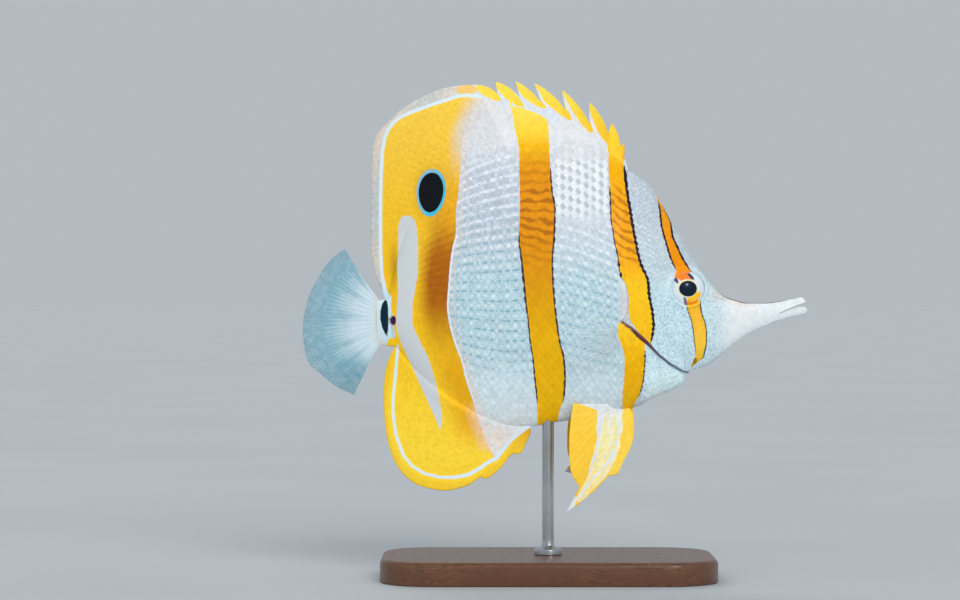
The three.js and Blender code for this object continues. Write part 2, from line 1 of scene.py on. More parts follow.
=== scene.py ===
"""The looks of the copperband butterflyfish: one skin with its fins, a coat of scales, eyes and a display stand."""
import math

import bpy
import numpy as np
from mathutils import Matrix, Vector


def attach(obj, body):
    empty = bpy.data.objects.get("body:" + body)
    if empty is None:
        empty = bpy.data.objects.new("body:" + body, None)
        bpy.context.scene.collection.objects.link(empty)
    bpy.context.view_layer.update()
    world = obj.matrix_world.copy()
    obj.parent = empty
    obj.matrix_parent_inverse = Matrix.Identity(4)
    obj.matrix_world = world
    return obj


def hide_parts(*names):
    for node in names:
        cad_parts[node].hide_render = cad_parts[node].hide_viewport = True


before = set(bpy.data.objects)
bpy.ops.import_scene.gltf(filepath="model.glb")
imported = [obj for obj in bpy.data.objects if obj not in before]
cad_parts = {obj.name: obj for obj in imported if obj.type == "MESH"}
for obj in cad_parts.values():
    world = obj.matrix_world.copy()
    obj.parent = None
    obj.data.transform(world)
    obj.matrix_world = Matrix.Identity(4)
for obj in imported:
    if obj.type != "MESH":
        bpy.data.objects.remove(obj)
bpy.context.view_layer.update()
MM = 0.001
RNG = np.random.default_rng(7)

# ---------------------------------------------------------------- curves, in mm


class Smooth:
    """A curve y(x) through its points that never overshoots them."""

    def __init__(self, points):
        p = np.array(sorted([list(map(float, q)) for q in points]))
        self.x, self.y = p[:, 0], p[:, 1]
        h, n = np.diff(self.x), len(p)
        d = np.diff(self.y) / h
        m = np.zeros(n)
        m[0], m[-1] = d[0], d[-1]
        for i in range(1, n - 1):
            a, b = d[i - 1], d[i]
            if a * b > 0:
                w1, w2 = 2 * h[i] + h[i - 1], h[i] + 2 * h[i - 1]
                m[i] = (w1 + w2) / (w1 / a + w2 / b)
        self.h, self.m = h, m

    def __call__(self, x):
        x = np.clip(np.asarray(x, float), self.x[0], self.x[-1])
        i = np.clip(np.searchsorted(self.x, x, side="right") - 1, 0, len(self.h) - 1)
        h = self.h[i]
        t = (x - self.x[i]) / h
        u = 1 - t
        return (
            self.y[i] * (1 + 2 * t) * u * u
            + self.y[i + 1] * (3 - 2 * t) * t * t
            + h * (self.m[i] * t * u * u - self.m[i + 1] * t * t * u)
        )


class Along:
    """A smooth path through [x, z] points; t runs 0 to 1 by length."""

    def __init__(self, points):
        p = np.array(points, float)
        s = np.r_[0, np.cumsum(np.hypot(*np.diff(p, axis=0).T))]
        s /= s[-1]
        self.fx, self.fz = Smooth(np.c_[s, p[:, 0]]), Smooth(np.c_[s, p[:, 1]])

    def __call__(self, t):
        return self.fx(t), self.fz(t)


def step(a, b, x):
    t = np.clip((np.asarray(x, float) - a) / (b - a), 0, 1)
    return t * t * (3 - 2 * t)


def bell(x, mid, width):
    return np.exp(-(((x - mid) / width) ** 2))


GAP = 0.3
BEND_START, BEND_END, BEND_SLOPE = -14.4, -48.9, 0.5
EYE_X, EYE_Z, EYE_R, EYE_BULGE, EYE_TURN = 41.6, 86.7, 5.2, 1.5, math.radians(14)

top = Smooth([[77.8, 81.6], [77.4, 82.9], [75.9, 84.3], [74.1, 83.9], [64.2, 82.6], [59.1, 82.7], [56.1, 83.5], [53.5, 84.3], [50.1, 87.1], [34, 112.6], [30.3, 118], [24.6, 122.2], [17.4, 127.8], [6.6, 131.1], [-5.4, 131.4], [-20.4, 127.6], [-32.4, 119.4], [-40.8, 108.9], [-45.6, 96.3], [-49.2, 83.8], [-51.6, 83.4]])
belly = Smooth([[77.8, 80.2], [77.2, 79.2], [73.1, 78.1], [66.6, 76], [60, 73], [53.5, 68.2], [50.2, 65.3], [46.9, 63.3], [42.4, 61.7], [41.2, 60.3], [40.6, 58.3], [38.7, 56.9], [32.1, 54], [25.8, 50.9], [15.6, 48.3], [2.4, 46.6], [-4.5, 45.4], [-10.8, 44.9], [-18.9, 46.8], [-27.9, 51.3], [-35.4, 57], [-42, 63.9], [-45.6, 68.8], [-51.6, 69.6]])
mid_line = Smooth([[77.8, 81], [63.6, 79.8], [51.6, 79.2], [42.6, 81.6], [30.6, 84], [15.6, 87], [-8.4, 87.9], [-29.4, 84.9], [-44.4, 78], [-51.6, 76.5]])
half_width = Smooth([[77.8, 0.55], [76.8, 1], [72.6, 1.3], [65.1, 1.7], [59.1, 2.15], [54, 3], [49.2, 4.3], [45.6, 5.2], [42, 6.1], [37.2, 7.3], [32.1, 8.6], [26.4, 9.7], [18.6, 10.4], [8.1, 10.3], [-5.4, 9.3], [-17.4, 7.8], [-29.4, 5.7], [-38.4, 4.2], [-45.9, 3], [-51.6, 1.7]])
ridge_top = Smooth([[77.8, 0.25], [51.6, 0.3], [27.6, 0.35], [21, 1], [3.6, 1.7], [-29.4, 1.5], [-44.4, 0.9], [-51.6, 0.7]])
ridge_belly = Smooth([[77.8, 0.25], [42.6, 0.3], [6.6, 0.4], [-5.4, 1], [-29.4, 1.3], [-44.4, 0.8], [-51.6, 0.7]])
pinch_top = Smooth([[77.8, 1], [51.6, 1.05], [33.6, 1.2], [21.6, 1.4], [3.6, 1.6], [-29.4, 1.6], [-44.4, 1.3], [-51.6, 1.1]])
pinch_belly = Smooth([[77.8, 1], [45.6, 1.1], [27.6, 1.05], [9.6, 1.15], [-5.4, 1.4], [-29.4, 1.5], [-44.4, 1.3], [-51.6, 1.1]])


def bend(x):
    x = np.asarray(x, float)
    span = BEND_START - BEND_END
    into = np.clip(BEND_START - x, 0, span)
    return BEND_SLOPE * into * into / (2 * span) + BEND_SLOPE * np.maximum(0, BEND_END - x)


def body_half(x, z):
    x, z = np.asarray(x, float), np.asarray(z, float)
    mid = mid_line(x)
    up = z >= mid
    edge = np.where(up, top(x), belly(x))
    reach = np.minimum(1, np.abs(z - mid) / np.maximum(1e-6, np.abs(edge - mid)))
    ridge = np.where(up, ridge_top(x), ridge_belly(x))
    pinch = np.where(up, pinch_top(x), pinch_belly(x))
    return ridge + (half_width(x) - ridge) * np.sqrt(np.maximum(0, 1 - reach * reach)) ** pinch


def clear_of(line, x, way):
    slope = (line(x + 0.2) - line(x - 0.2)) / 0.4
    length = np.hypot(slope, 1)
    return x - way * slope * GAP / length, line(x) + way * GAP / length


# ---------------------------------------------------------------- the body's surface

INSET = 0.2


def inset_at(x):
    return INSET - 0.1 * step(48, 56, x)


def section(x, a, side, inset=None):
    """The skin's point on the section at x, a running from 0 at the back to pi at the belly."""
    d = inset_at(x) if inset is None else inset
    mid = mid_line(x)
    c, s = np.cos(a), np.maximum(0, np.sin(a))
    up = c >= 0
    edge = np.where(up, top(x) - d, belly(x) + d)
    z = mid + np.abs(c) * (edge - mid)
    ridge = np.maximum(0.12, np.where(up, ridge_top(x), ridge_belly(x)) - d)
    pinch = np.where(up, pinch_top(x), pinch_belly(x))
    half = ridge + np.maximum(0.05, half_width(x) - d - ridge) * s**pinch
    return np.stack([x + 0 * a, side * half + bend(x), z], -1)


# Arc-length table: which angle a lies at the fraction s of a section's length.
TX = np.linspace(-51.6, 77.8, 420)
TS = np.linspace(0, 1, 257)
_a = np.linspace(0, math.pi, 400)
_p = section(TX[:, None], _a[None, :], 1.0)
_seg = np.linalg.norm(np.diff(_p, axis=1), axis=2)
_arc = np.concatenate([np.zeros((len(TX), 1)), np.cumsum(_seg, 1)], 1)
ARC_LENGTH = _arc[:, -1]
TABLE_A = np.array([np.interp(TS, _arc[i] / _arc[i, -1], _a) for i in range(len(TX))])


def angle_at(x, s):
    fx = (np.clip(x, TX[0], TX[-1]) - TX[0]) / (TX[1] - TX[0])
    fs = np.clip(s, 0, 1) * (len(TS) - 1)
    i = np.minimum(fx.astype(int), len(TX) - 2)
    j = np.minimum(fs.astype(int), len(TS) - 2)
    u, v = fx - i, fs - j
    t = TABLE_A
    return (t[i, j] * (1 - v) + t[i, j + 1] * v) * (1 - u) + (t[i + 1, j] * (1 - v) + t[i + 1, j + 1] * v) * u


def arc_at(x):
    return np.interp(x, TX, ARC_LENGTH)


# The gill cover's rear edge, and the creases on the cheek.
def grid(points):
    """Points read on a 0.3 mm grid whose column 548 is the rod and whose row 578 is the floor."""
    p = np.array(points, float)
    return np.c_[(p[:, 0] - 548) * 0.3, (578 - p[:, 1]) * 0.3]


def col(px):
    return (np.asarray(px, float) - 548) * 0.3


def row(py):
    return (578 - np.asarray(py, float)) * 0.3


def spread(x, z, way=1):
    """From a place on the flank to the marking grid (way 1), which lies in the fish's middle plane, or back (way -1)."""
    m = (900 / (900 - body_half(x, z) + bend(x))) ** way
    return (x + 20.4) * m - 20.4, (z - 83.4) * m + 83.4


def on_flank(points):
    return np.stack(spread(points[:, 0], points[:, 1], -1), -1)


GILL_EDGE = grid([[624, 268], [625.6, 280], [628, 292], [628.6, 305], [627.5, 314], [621.5, 321.5], [630.8, 327.7], [639, 335.9], [647.2, 343], [659.5, 355.4], [669.7, 363.6], [682, 370.8], [689, 373]])
GILL_EDGE = on_flank(GILL_EDGE)
GILL_LOWER = GILL_EDGE[5:]
CREASE = on_flank(grid([[650, 283], [655, 300], [661, 318], [668, 334], [678, 350], [690, 357], [700, 357]]))


def near_line(points, x, z):
    """Distance to a polyline, and on which side of it a point lies: plus is on its left as it runs."""
    p = np.asarray(points, float)
    best = np.full(np.shape(x), 1e9)
    sign = np.ones(np.shape(x))
    for a, b in zip(p[:-1], p[1:]):
        e = b - a
        t = np.clip(((x - a[0]) * e[0] + (z - a[1]) * e[1]) / (e @ e), 0, 1)
        dx, dz = x - a[0] - t * e[0], z - a[1] - t * e[1]
        d = np.hypot(dx, dz)
        closer = d < best
        best = np.where(closer, d, best)
        sign = np.where(closer, np.where(e[0] * dz - e[1] * dx >= 0, 1.0, -1.0), sign)
    return best, sign


def inside(poly, x, z):
    """Signed distance to a closed outline, plus inside."""
    p = np.asarray(poly, float)
    if np.hypot(*(p[0] - p[-1])) > 1e-6:
        p = np.vstack([p, p[:1]])
    d, _ = near_line(p, x, z)
    odd = np.zeros(np.shape(x), bool)
    for a, b in zip(p[:-1], p[1:]):
        cross = (a[1] > z) != (b[1] > z)
        with np.errstate(divide="ignore", invalid="ignore"):
            xi = a[0] + (z - a[1]) * (b[0] - a[0]) / (b[1] - a[1] if b[1] != a[1] else 1e-9)
        odd ^= cross & (x < xi)
    return np.where(odd, d, -d)


def relief(x, z):
    """How far the skin stands out from the plain body: orbit, gill cover, creases and nostrils."""
    out = np.zeros(np.shape(x))
    r = np.hypot(x - EYE_X, z - EYE_Z)
    out += 0.2 * bell(r, 5.5, 0.8) - 1.9 * (1 - step(3.6, 5.15, r))
    head = (x > 15) & (x < 56)
    if np.any(head):
        hx, hz = x[head], z[head]
        d, sgn = near_line(GILL_LOWER, hx, hz)
        fade = 1 - step(44, 50, hx)
        front = sgn > 0
        h = np.where(front, 0.34 * np.exp(-d / 3.2), -0.3 * np.exp(-d / 1.1)) * fade
        d2, s2 = near_line(GILL_EDGE[:6], hx, hz)
        h += np.where(s2 > 0, 0.16 * np.exp(-d2 / 2.0), -0.12 * np.exp(-d2 / 0.8)) * (d > 0.8)
        d3, s3 = near_line(CREASE, hx, hz)
        h += np.where(s3 < 0, 0.12 * np.exp(-d3 / 2.4), -0.14 * np.exp(-d3 / 0.9))
        out[head] += h
    for nx, nz, size in ((50.0, 84.9, 0.55), (52.4, 83.7, 0.4)):
        q = np.hypot((x - nx) / 1.25, z - nz)
        out += 0.1 * bell(q, size, 0.3) - 0.35 * np.exp(-((q / (0.6 * size)) ** 2))
    return out


# ---------------------------------------------------------------- markings


def lin(r, g, b):
    """An everyday 0-255 colour as a linear one."""
    c = np.array([r, g, b], float) / 255
    return np.where(c <= 0.04045, c / 12.92, ((c + 0.055) / 1.055) ** 2.4)


class Edge:
    """The edge of a bar: x as a smooth function of height."""

    def __init__(self, points):
        p = grid(points)
        self.f = Smooth(np.c_[p[:, 1], p[:, 0]])
        self.low, self.high = self.f.x[0], self.f.x[-1]

    def __call__(self, z):
        return self.f(z)

    def off(self, x, z):
        """How far x lies in front of the edge, measured square to it."""
        slope = (self.f(z + 0.4) - self.f(z - 0.4)) / 0.8
        return (x - self.f(z)) / np.hypot(1, slope)


def ramp(points, t):
    """Colours along t, mixed in linear light. points: [(t, (r, g, b)), ...] with t rising."""
    ts = [p[0] for p in points]
    cs = np.array([lin(*p[1]) for p in points])
    return np.stack([np.interp(t, ts, cs[:, k]) for k in range(3)], -1)


BAR1_BACK = Edge([(655, 192), (659.5, 207), (661.5, 225), (666.5, 244), (671.8, 261), (675.8, 271), (674.5, 277), (677, 284), (683, 298), (686, 304), (688, 311), (691.4, 320.6), (693.6, 333.7), (694.7, 344.6), (695.8, 354.4), (693, 361), (691, 366)])
BAR1_FRONT = Edge([(655.4, 190), (657.4, 195.4), (665.2, 211), (670.8, 223), (672.4, 235), (677.5, 247), (682, 257), (687.4, 266), (692.5, 273), (698, 281), (701.5, 289), (701, 295.6), (700.6, 305.4), (702.3, 315), (705.6, 324), (706.7, 333), (706.7, 341), (705, 351), (702.9, 357.7), (698, 362), (692, 367)])
BAR2_BACK = Edge([(606, 118), (608.5, 135), (608.5, 170), (609.5, 180), (610.5, 205), (611, 220), (613, 232), (615, 245), (617, 252), (618.5, 262), (620.5, 276), (624, 281), (626.6, 288), (628.7, 299), (628.6, 311), (629.4, 318), (634.5, 327), (641.5, 335.5), (649, 343.5)])
BAR2_FRONT = Edge([(621, 118), (624, 140), (624.6, 165), (626.7, 188), (629.7, 206.7), (632.8, 225), (637, 247.7), (641, 264), (648, 280.5), (649.2, 295), (652.3, 311), (653.7, 325.6), (652.3, 336), (651, 342)])
CHEST_BACK = Edge([(622, 320.5), (617.4, 326.7), (618, 336), (622.6, 348), (624.6, 360.5), (624.2, 377), (622.6, 393), (622.2, 412)])
CHEST_FRONT = Edge([(622.5, 320.5), (630.8, 327.7), (645, 342.5), (645, 360.5), (644, 375), (641, 391), (634, 405.6), (632, 412)])
BAR3_BACK = Edge([(509, 104), (511, 110), (514.5, 130), (519, 150), (519.5, 180), (520, 200), (519, 240), (521.5, 260), (523.5, 280), (525.5, 300), (528, 320), (530, 340), (533, 360), (535, 380), (537, 400), (537.5, 430)])
BAR3_FRONT = Edge([(545, 104), (546, 115), (549, 125), (549.5, 150), (550.5, 170), (552, 190), (555, 210), (554, 240), (552.5, 260), (553, 280), (554.5, 300), (556.5, 320), (559.5, 340), (564, 360), (565, 375), (564.5, 390), (563.5, 400), (560, 410), (556, 430)])
BAR4_FRONT = Edge([(490, 96), (480, 104), (469, 120), (462, 140), (461, 160), (458.5, 190), (456, 215), (456, 230), (452, 250), (450, 265), (448, 290), (447, 305), (448.5, 320), (453.5, 340), (457, 350), (461, 360), (466, 380), (472.5, 400), (478.5, 420), (483, 432), (489, 447), (497, 462)])
DORSAL_LINE = grid([(390, 301), (387, 297), (384.5, 287), (381.7, 273.6), (380.5, 250), (380.3, 225), (380.5, 200), (381, 175), (382.4, 150), (384.5, 138), (388.3, 129), (393.7, 122), (401, 116.5), (411, 112), (430.8, 104.7), (443.9, 100.3), (457, 96), (468, 94.6), (480, 96.4), (490, 99), (505, 106), (520, 109), (540, 115), (556, 122)])
DORSAL_INSIDE = np.vstack([DORSAL_LINE, grid([(600, 150), (600, 340), (396, 340)])])
ANAL_LINE = grid([(398, 346), (396.5, 362), (395, 380), (393, 398), (393, 414), (396, 435), (403, 455), (412, 466), (424, 473.5), (440, 477.5), (455, 477.5), (468, 475), (480, 468.5), (487, 463), (497, 458), (503, 450), (511, 440), (520, 432.5), (532, 424)])
ANAL_INSIDE = np.vstack([ANAL_LINE, grid([(540, 300), (398, 300)])])
STREAK_BACK = Edge([(402.4, 216.5), (399.6, 220.5), (398.2, 230), (398, 250), (397, 270), (398, 290), (396.5, 310), (396.2, 325), (400, 340), (409, 360), (418, 380), (427, 400), (436, 420), (439.5, 429)])
STREAK_FRONT = Edge([(411, 216.5), (415, 221), (416.8, 229), (418, 250), (418, 270), (415, 290), (412.6, 306), (412.5, 322), (418, 337), (429, 360), (435, 380), (439.5, 400), (442, 420), (440.8, 429)])
GOLD_TOP = grid([(500, 60), (513, 106), (522, 107.5), (535, 111.5), (546, 117), (549.5, 124), (552, 140), (552, 440), (500, 440)])


TAIL_BAR = grid([(385, 299.5), (382, 304), (380.4, 311), (380.2, 319), (382, 327), (385, 334), (387.3, 337), (388.2, 330), (388.4, 318), (388, 306), (387, 300)])


TAIL_WHITE = grid([(391.6, 296), (391.2, 306), (390.8, 318), (391, 330), (392.2, 338), (389.5, 338.5), (387.4, 341), (387.2, 346), (380, 352), (350, 360), (350, 280), (384, 290)])
TAIL_ARC = Smooth(grid([(374.6, 290), (375.4, 300), (376.2, 315), (376.6, 326), (378.6, 337), (383.5, 348)])[:, ::-1])


def marks(x, z):
    """Every marking as signed distances in mm, plus inside, and the colours that go with them."""
    shape = np.shape(x)
    xo, zo = x, z
    x, z = spread(x, z)
    px, py = x / 0.3 + 548, 578 - z / 0.3
    far = np.full(shape, -9.0)

    # gold
    b1 = np.minimum(BAR1_BACK.off(x, z), -BAR1_FRONT.off(x, z))
    b1 = np.where((py > 189) & (py < 368), b1, far)
    b2 = np.minimum(BAR2_BACK.off(x, z), -BAR2_FRONT.off(x, z))
    b2 = np.where(py < 345, b2, far)
    chest = np.minimum(CHEST_BACK.off(x, z), -CHEST_FRONT.off(x, z))
    chest = np.where(py > 320, chest, far)
    b3 = np.minimum(BAR3_BACK.off(x, z), -BAR3_FRONT.off(x, z))
    near_top = (py < 150) & (px > 490) & (px < 570)
    if np.any(near_top):
        cut = inside(GOLD_TOP, x[near_top], z[near_top])
        b3[near_top] = np.minimum(b3[near_top], cut)
    rear = px < 560
    dors, anal = np.full(shape, 9.0), np.full(shape, 9.0)
    dline, aline = np.full(shape, 9.0), np.full(shape, 9.0)
    if np.any(rear):
        rx, rz = x[rear], z[rear]
        dors[rear] = inside(DORSAL_INSIDE, rx, rz)
        dline[rear] = near_line(DORSAL_LINE, rx, rz)[0]
        anal[rear] = inside(ANAL_INSIDE, rx, rz)
        aline[rear] = near_line(ANAL_LINE, rx, rz)[0]
    upper = py < 338
    b4 = -BAR4_FRONT.off(x, z)
    b4 = np.where(upper, np.minimum(b4, dors), b4)
    # the yellow rim outside the anal fin's pale line
    b4 = np.where((py > 410) & (px < 530.5) & (zo < belly(xo) + 0.3), np.maximum(b4, -anal), b4)
    # a soft yellow patch on the margin where the soft dorsal begins
    patch = 1.5 - np.hypot((x - col(467)) / 2.2, z - row(89.5))
    b4 = np.maximum(b4, np.where(py < 95, patch, far))
    gold = np.maximum.reduce([b1, b2, chest, b3, b4])
    which = np.argmax(np.stack([b1, b2, chest, b3, b4]), 0)

    # pale lines and the white streak
    streak = np.minimum(STREAK_BACK.off(x, z), -STREAK_FRONT.off(x, z))
    streak = np.where((py > 215) & (py < 430.5), streak, far)
    streak = np.minimum(streak, np.minimum(row(215.6) - z, z - row(430)))
    d_w = 0.52 + 0.1 * step(460, 500, px)
    a_w = 0.46 + 0.12 * step(440, 470, px)
    pale = np.maximum.reduce([streak, np.where(upper, d_w - dline, far), np.where(py > 330, a_w - aline, far)])
    edge4 = (0.1 + 0.2 * step(205, 250, py) * (1 - step(392, 410, py))) - np.abs(BAR4_FRONT.off(x, z) - 0.3)
    edge4 = np.where((py > 200) & (py < 408), edge4, far)
    pale = np.maximum(pale, edge4)
    tall = np.clip((z - row(192.5)) / 6.0, -1.2, 1.2)
    oc = np.hypot((x - col(430.9) - 0.35 * tall) / (3.72 * (1 + 0.07 * tall)), (z - row(192.5)) / 6.0) - 1
    oc_side = step(-4.5, 4.5, (x - col(430.9)) - 0.55 * (z - row(192.5)))
    oc_ring = 0.5 + 0.12 * oc_side - np.abs(oc * 4.3 - 0.25)
    oc_in = -oc * 4.4
    pale = np.maximum(pale, oc_ring)
    tail_bar = inside(TAIL_BAR, x, z) if np.any(px < 400) else far
    tail_white = inside(TAIL_WHITE, x, z) if np.any(px < 400) else far
    pale = np.maximum(pale, tail_white)

    # dark borders of the bars: half their width where the nearest edge has one
    def win(lo, hi, soft=7.0):
        return step(lo - soft, lo + soft, py) * (1 - step(hi - soft, hi + soft, py))

    def nearest(back, front, w_back, w_front):
        return np.where(back.off(x, z) < -front.off(x, z), w_back, w_front)

    none = np.zeros(shape)
    teeth = 0.5 + 0.5 * np.sin(py * 1.257)
    widths = [
        nearest(BAR1_BACK, BAR1_FRONT, 0.3 * win(200, 268) + 0.15 * win(306, 354), 0.31 * win(204, 270) + 0.22 * win(300, 358)),
        nearest(BAR2_BACK, BAR2_FRONT, 0.2 * win(188, 280), 0.46 * win(166, 340)),
        nearest(CHEST_BACK, CHEST_FRONT, none, 0.3 * win(350, 396) * (0.35 + 0.65 * teeth)),
        nearest(BAR3_BACK, BAR3_FRONT, (0.24 + 0.1 * bell(py, 275, 25)) * win(236, 402), 0.27 * win(170, 400)),
        none,
    ]
    width = np.choose(which, widths)
    width = width * np.where(which == 0, 0.25 + 0.75 * step(0.6, 3.6, top(xo) - zo), 1.0)
    width = np.where(width < 0.05, -0.4, width)
    dark = far.copy()
    for cx, cy in ((619, 265), (621, 275)):
        dark = np.maximum(dark, 0.55 - np.abs(x - col(cx)) - 0.55 * np.abs(z - row(cy)))
    dark = np.maximum(dark, oc_in)
    dark = np.maximum(dark, tail_bar)
    dark = np.maximum(dark, (1.0 - np.hypot((x - col(393.2)) / 0.85, (z - row(320.5)) / 1.45)) * 0.9)
    head = (px > 612) & (px < 700) & (py > 262) & (py < 378)
    if np.any(head):
        d, _ = near_line(GILL_LOWER, xo[head], zo[head])
        crack, _ = near_line(GILL_EDGE[:6], xo[head], zo[head])
        dark[head] = np.maximum(dark[head], 0.36 + 0.26 * bell(py[head], 336, 11) - d)
        dark[head] = np.maximum(dark[head], 0.06 - crack)
    back = top(xo)
    ridge_line = -0.15 + 0.52 * step(700, 722, px) - 0.12 * step(740, 756, px) - 0.4 * step(782, 797, px) - (back - zo)
    ridge_line = np.minimum(ridge_line, (1.6 - body_half(xo, zo)) * 0.5)
    ridge_line = np.where((px > 700) & (px < 800), ridge_line, far)
    dark = np.maximum(dark, np.where(z > mid_line(x), ridge_line, far))
    olive = 0.8 - np.hypot((x - col(694.5)) / 1.0, (z - row(360.5)) / 1.3)

    # colours of the gold
    g1 = ramp([(190, (252, 172, 20)), (240, (250, 156, 4)), (272, (248, 146, 2)), (292, (255, 196, 30)), (312, (255, 192, 52)), (345, (255, 208, 66)), (358, (246, 196, 50)), (368, (196, 160, 24))], py)
    g2 = ramp([(120, (255, 214, 50)), (150, (254, 202, 34)), (168, (250, 180, 8)), (190, (252, 172, 4)), (225, (250, 166, 0)), (262, (254, 174, 0)), (285, (255, 202, 20)), (340, (252, 194, 20))], py)
    gc = ramp([(322, (255, 208, 44)), (345, (252, 192, 10)), (375, (244, 180, 0)), (408, (250, 194, 20))], py)
    g3 = ramp([(105, (255, 224, 90)), (128, (254, 210, 62)), (146, (246, 184, 18)), (160, (232, 160, 4)), (172, (228, 146, 0)), (200, (230, 144, 0)), (250, (224, 144, 0)), (290, (222, 154, 0)), (340, (236, 178, 2)), (420, (248, 192, 12))], py)
    g4 = ramp([(90, (253, 209, 76)), (150, (252, 204, 62)), (200, (251, 199, 46)), (260, (250, 194, 30)), (330, (252, 198, 22)), (400, (255, 212, 48)), (450, (255, 216, 58)), (495, (255, 212, 48))], py)
    edge_d = -BAR4_FRONT.off(x, z)  # distance behind the area's front edge
    deep = bell(py, 277, 61) * (1 - step(4.0, 10.5, edge_d))
    deep = np.clip(deep * 1.18, 0, 1)
    g4 = g4 * (1 - deep[..., None]) + lin(172, 94, 0) * deep[..., None]
    low = step(340, 372, py) * (1 - step(425, 455, py)) * (1 - step(2.5, 11, edge_d))
    g4 = g4 * (1 - 0.75 * low[..., None]) + lin(236, 164, 0) * 0.75 * low[..., None]
    rim = step(1.0, 2.2, -anal) * (py > 345)
    g4 = g4 * (1 - 0.45 * rim[..., None]) + lin(232, 186, 44) * 0.45 * rim[..., None]
    warm = bell(py, 208, 34) * (1 - step(1.5, 8.5, edge_d)) * 0.55
    g4 = g4 * (1 - warm[..., None]) + lin(242, 168, 8) * warm[..., None]
    ol = bell(px, 394.5, 5) * bell(py, 266, 20)
    g4 = g4 * (1 - 0.8 * ol[..., None]) + lin(186, 144, 8) * 0.8 * ol[..., None]
    halo = np.exp(-np.maximum(0, oc_in * -1 - 0.6) / 1.4)
    g4 = g4 * (1 - 0.5 * halo[..., None]) + lin(206, 150, 30) * 0.5 * halo[..., None]
    mellow = step(0, 1.5, 2.6 - np.hypot((x - col(464)) / 2.2, z - row(89.5))) * (py < 95) * 0.55
    g4 = g4 * (1 - mellow[..., None]) + lin(236, 196, 140) * mellow[..., None]
    # painted light: the gold is lightened just above the belly line, hiding the shade where the body turns under into
    # the anal fin
    painted_light_at_belly_crease = bell(zo - belly(xo), 1.6, 1.7) * step(-4, -10, xo)
    g4 = g4 * (1 + 0.16 * painted_light_at_belly_crease[..., None])
    c_gold = np.choose(which[..., None], [g1, g2, gc, g3, g4])
    soft4 = (which == 4) * (1 - step(120, 190, py)) * (1 - step(0.0, 5.0, edge_d))
    c_gold = np.where((olive > 0)[..., None], lin(150, 126, 20), c_gold)

    # colours between the bars
    t = np.clip((py - 100) / 330, 0, 1)
    c_out = ramp([(0, (232, 228, 228)), (0.18, (226, 226, 232)), (0.35, (218, 224, 232)), (0.55, (202, 226, 234)), (0.85, (210, 232, 240)), (1, (232, 240, 244))], t)
    rearband = bell(px, 488, 34) * (1 - step(225, 258, py)) * step(150, 185, py)
    c_out = c_out * (1 - 0.6 * rearband[..., None]) + lin(196, 202, 222) * 0.6 * rearband[..., None]
    ahead = BAR4_FRONT.off(x, z)
    cream = (1 - step(0.9, 3.2, ahead)) * step(-0.2, 0.3, ahead) * (py < 430) * (0.35 + 0.65 * step(90, 150, py))
    c_out = c_out * (1 - 0.72 * cream[..., None]) + lin(244, 218, 204) * 0.72 * cream[..., None]
    pink = bell(px, 497, 20) * bell(py, 440, 16)
    c_out = c_out * (1 - 0.8 * pink[..., None]) + lin(250, 218, 196) * 0.8 * pink[..., None]
    nape = bell(px, 640, 22) * (1 - step(215, 245, py))
    c_out = c_out * (1 - 0.6 * nape[..., None]) + lin(188, 204, 222) * 0.6 * nape[..., None]
    snout = step(705, 735, px)
    c_out = c_out * (1 - 0.75 * snout[..., None]) + lin(238, 237, 240) * 0.75 * snout[..., None]
    nose = np.clip(bell(px, 740, 16) * np.exp(-np.maximum(0, back - zo) / 1.3) + 0.6 * bell(px, 716, 7) * bell(py, 296, 5), 0, 1)
    c_out = c_out * (1 - 0.7 * nose[..., None]) + lin(244, 190, 150) * 0.7 * nose[..., None]
    notch = np.clip(1.2 * bell(px, 624.5, 4.5) * bell(py, 304, 18), 0, 1)
    c_out = c_out * (1 - 0.8 * notch[..., None]) + lin(236, 206, 208) * 0.8 * notch[..., None]
    margin = (dors < -0.2) & (px < 480) & (py < 330)
    beige = 0.5 + 0.5 * np.sin(px * 0.11 + py * 0.05)
    m_col = lin(228, 206, 186) * (1 - beige[..., None]) + lin(200, 200, 194) * beige[..., None]
    c_out = np.where(margin[..., None], m_col, c_out)
    under = step(0.8, -0.8, dors) * (px >= 474) * (py < 160)
    c_out = c_out * (1 - under[..., None]) + lin(222, 229, 243) * under[..., None]
    belly_w = step(3.0, 0.0, zo - belly(xo)) * (px > 560)
    c_out = c_out * (1 - 0.5 * belly_w[..., None]) + lin(226, 234, 240) * 0.5 * belly_w[..., None]
    netzone = step(150, 166, py) * (1 - step(206, 232, py)) * step(551, 558, px) * (1 - step(612, 620, px))
    cheek = step(630, 655, px) * step(268, 305, py) * (1 - step(700, 728, px))
    f = 0.82 + 0.11 * netzone + 0.07 * (1 - step(130, 180, py)) * (px < 600) + 0.05 * bell(py, 240, 28) * (px > 545) * (px < 630)
    f = f * (1 - cheek) + 1.04 * cheek
    tip = step(704, 730, px)
    f = f * (1 - tip) + 0.9 * tip
    lower = step(352, 388, py) * (px < 640)
    f = f * (1 - lower) + 0.92 * lower
    chest_w = step(640, 652, px) * step(356, 376, py) * (px < 700)
    f = f * (1 - chest_w) + 1.23 * chest_w
    teal = step(255, 285, py) * (1 - step(345, 375, py)) * (px < 600)
    c_out = np.clip(c_out * f[..., None] * np.stack([1 - 0.07 * teal, 1 + 0 * teal, 0.985 + 0.015 * teal], -1), 0, 1)
    # painted shade: the skin is darkened along the cheek's crease, where the groove takes shade
    painted_crease_shade = np.zeros(shape)
    if np.any(head):
        cd, _ = near_line(CREASE, xo[head], zo[head])
        painted_crease_shade[head] = np.exp(-cd / 0.8)
    c_out = c_out * (1 - 0.2 * painted_crease_shade[..., None]) + lin(168, 178, 190) * 0.2 * painted_crease_shade[..., None]

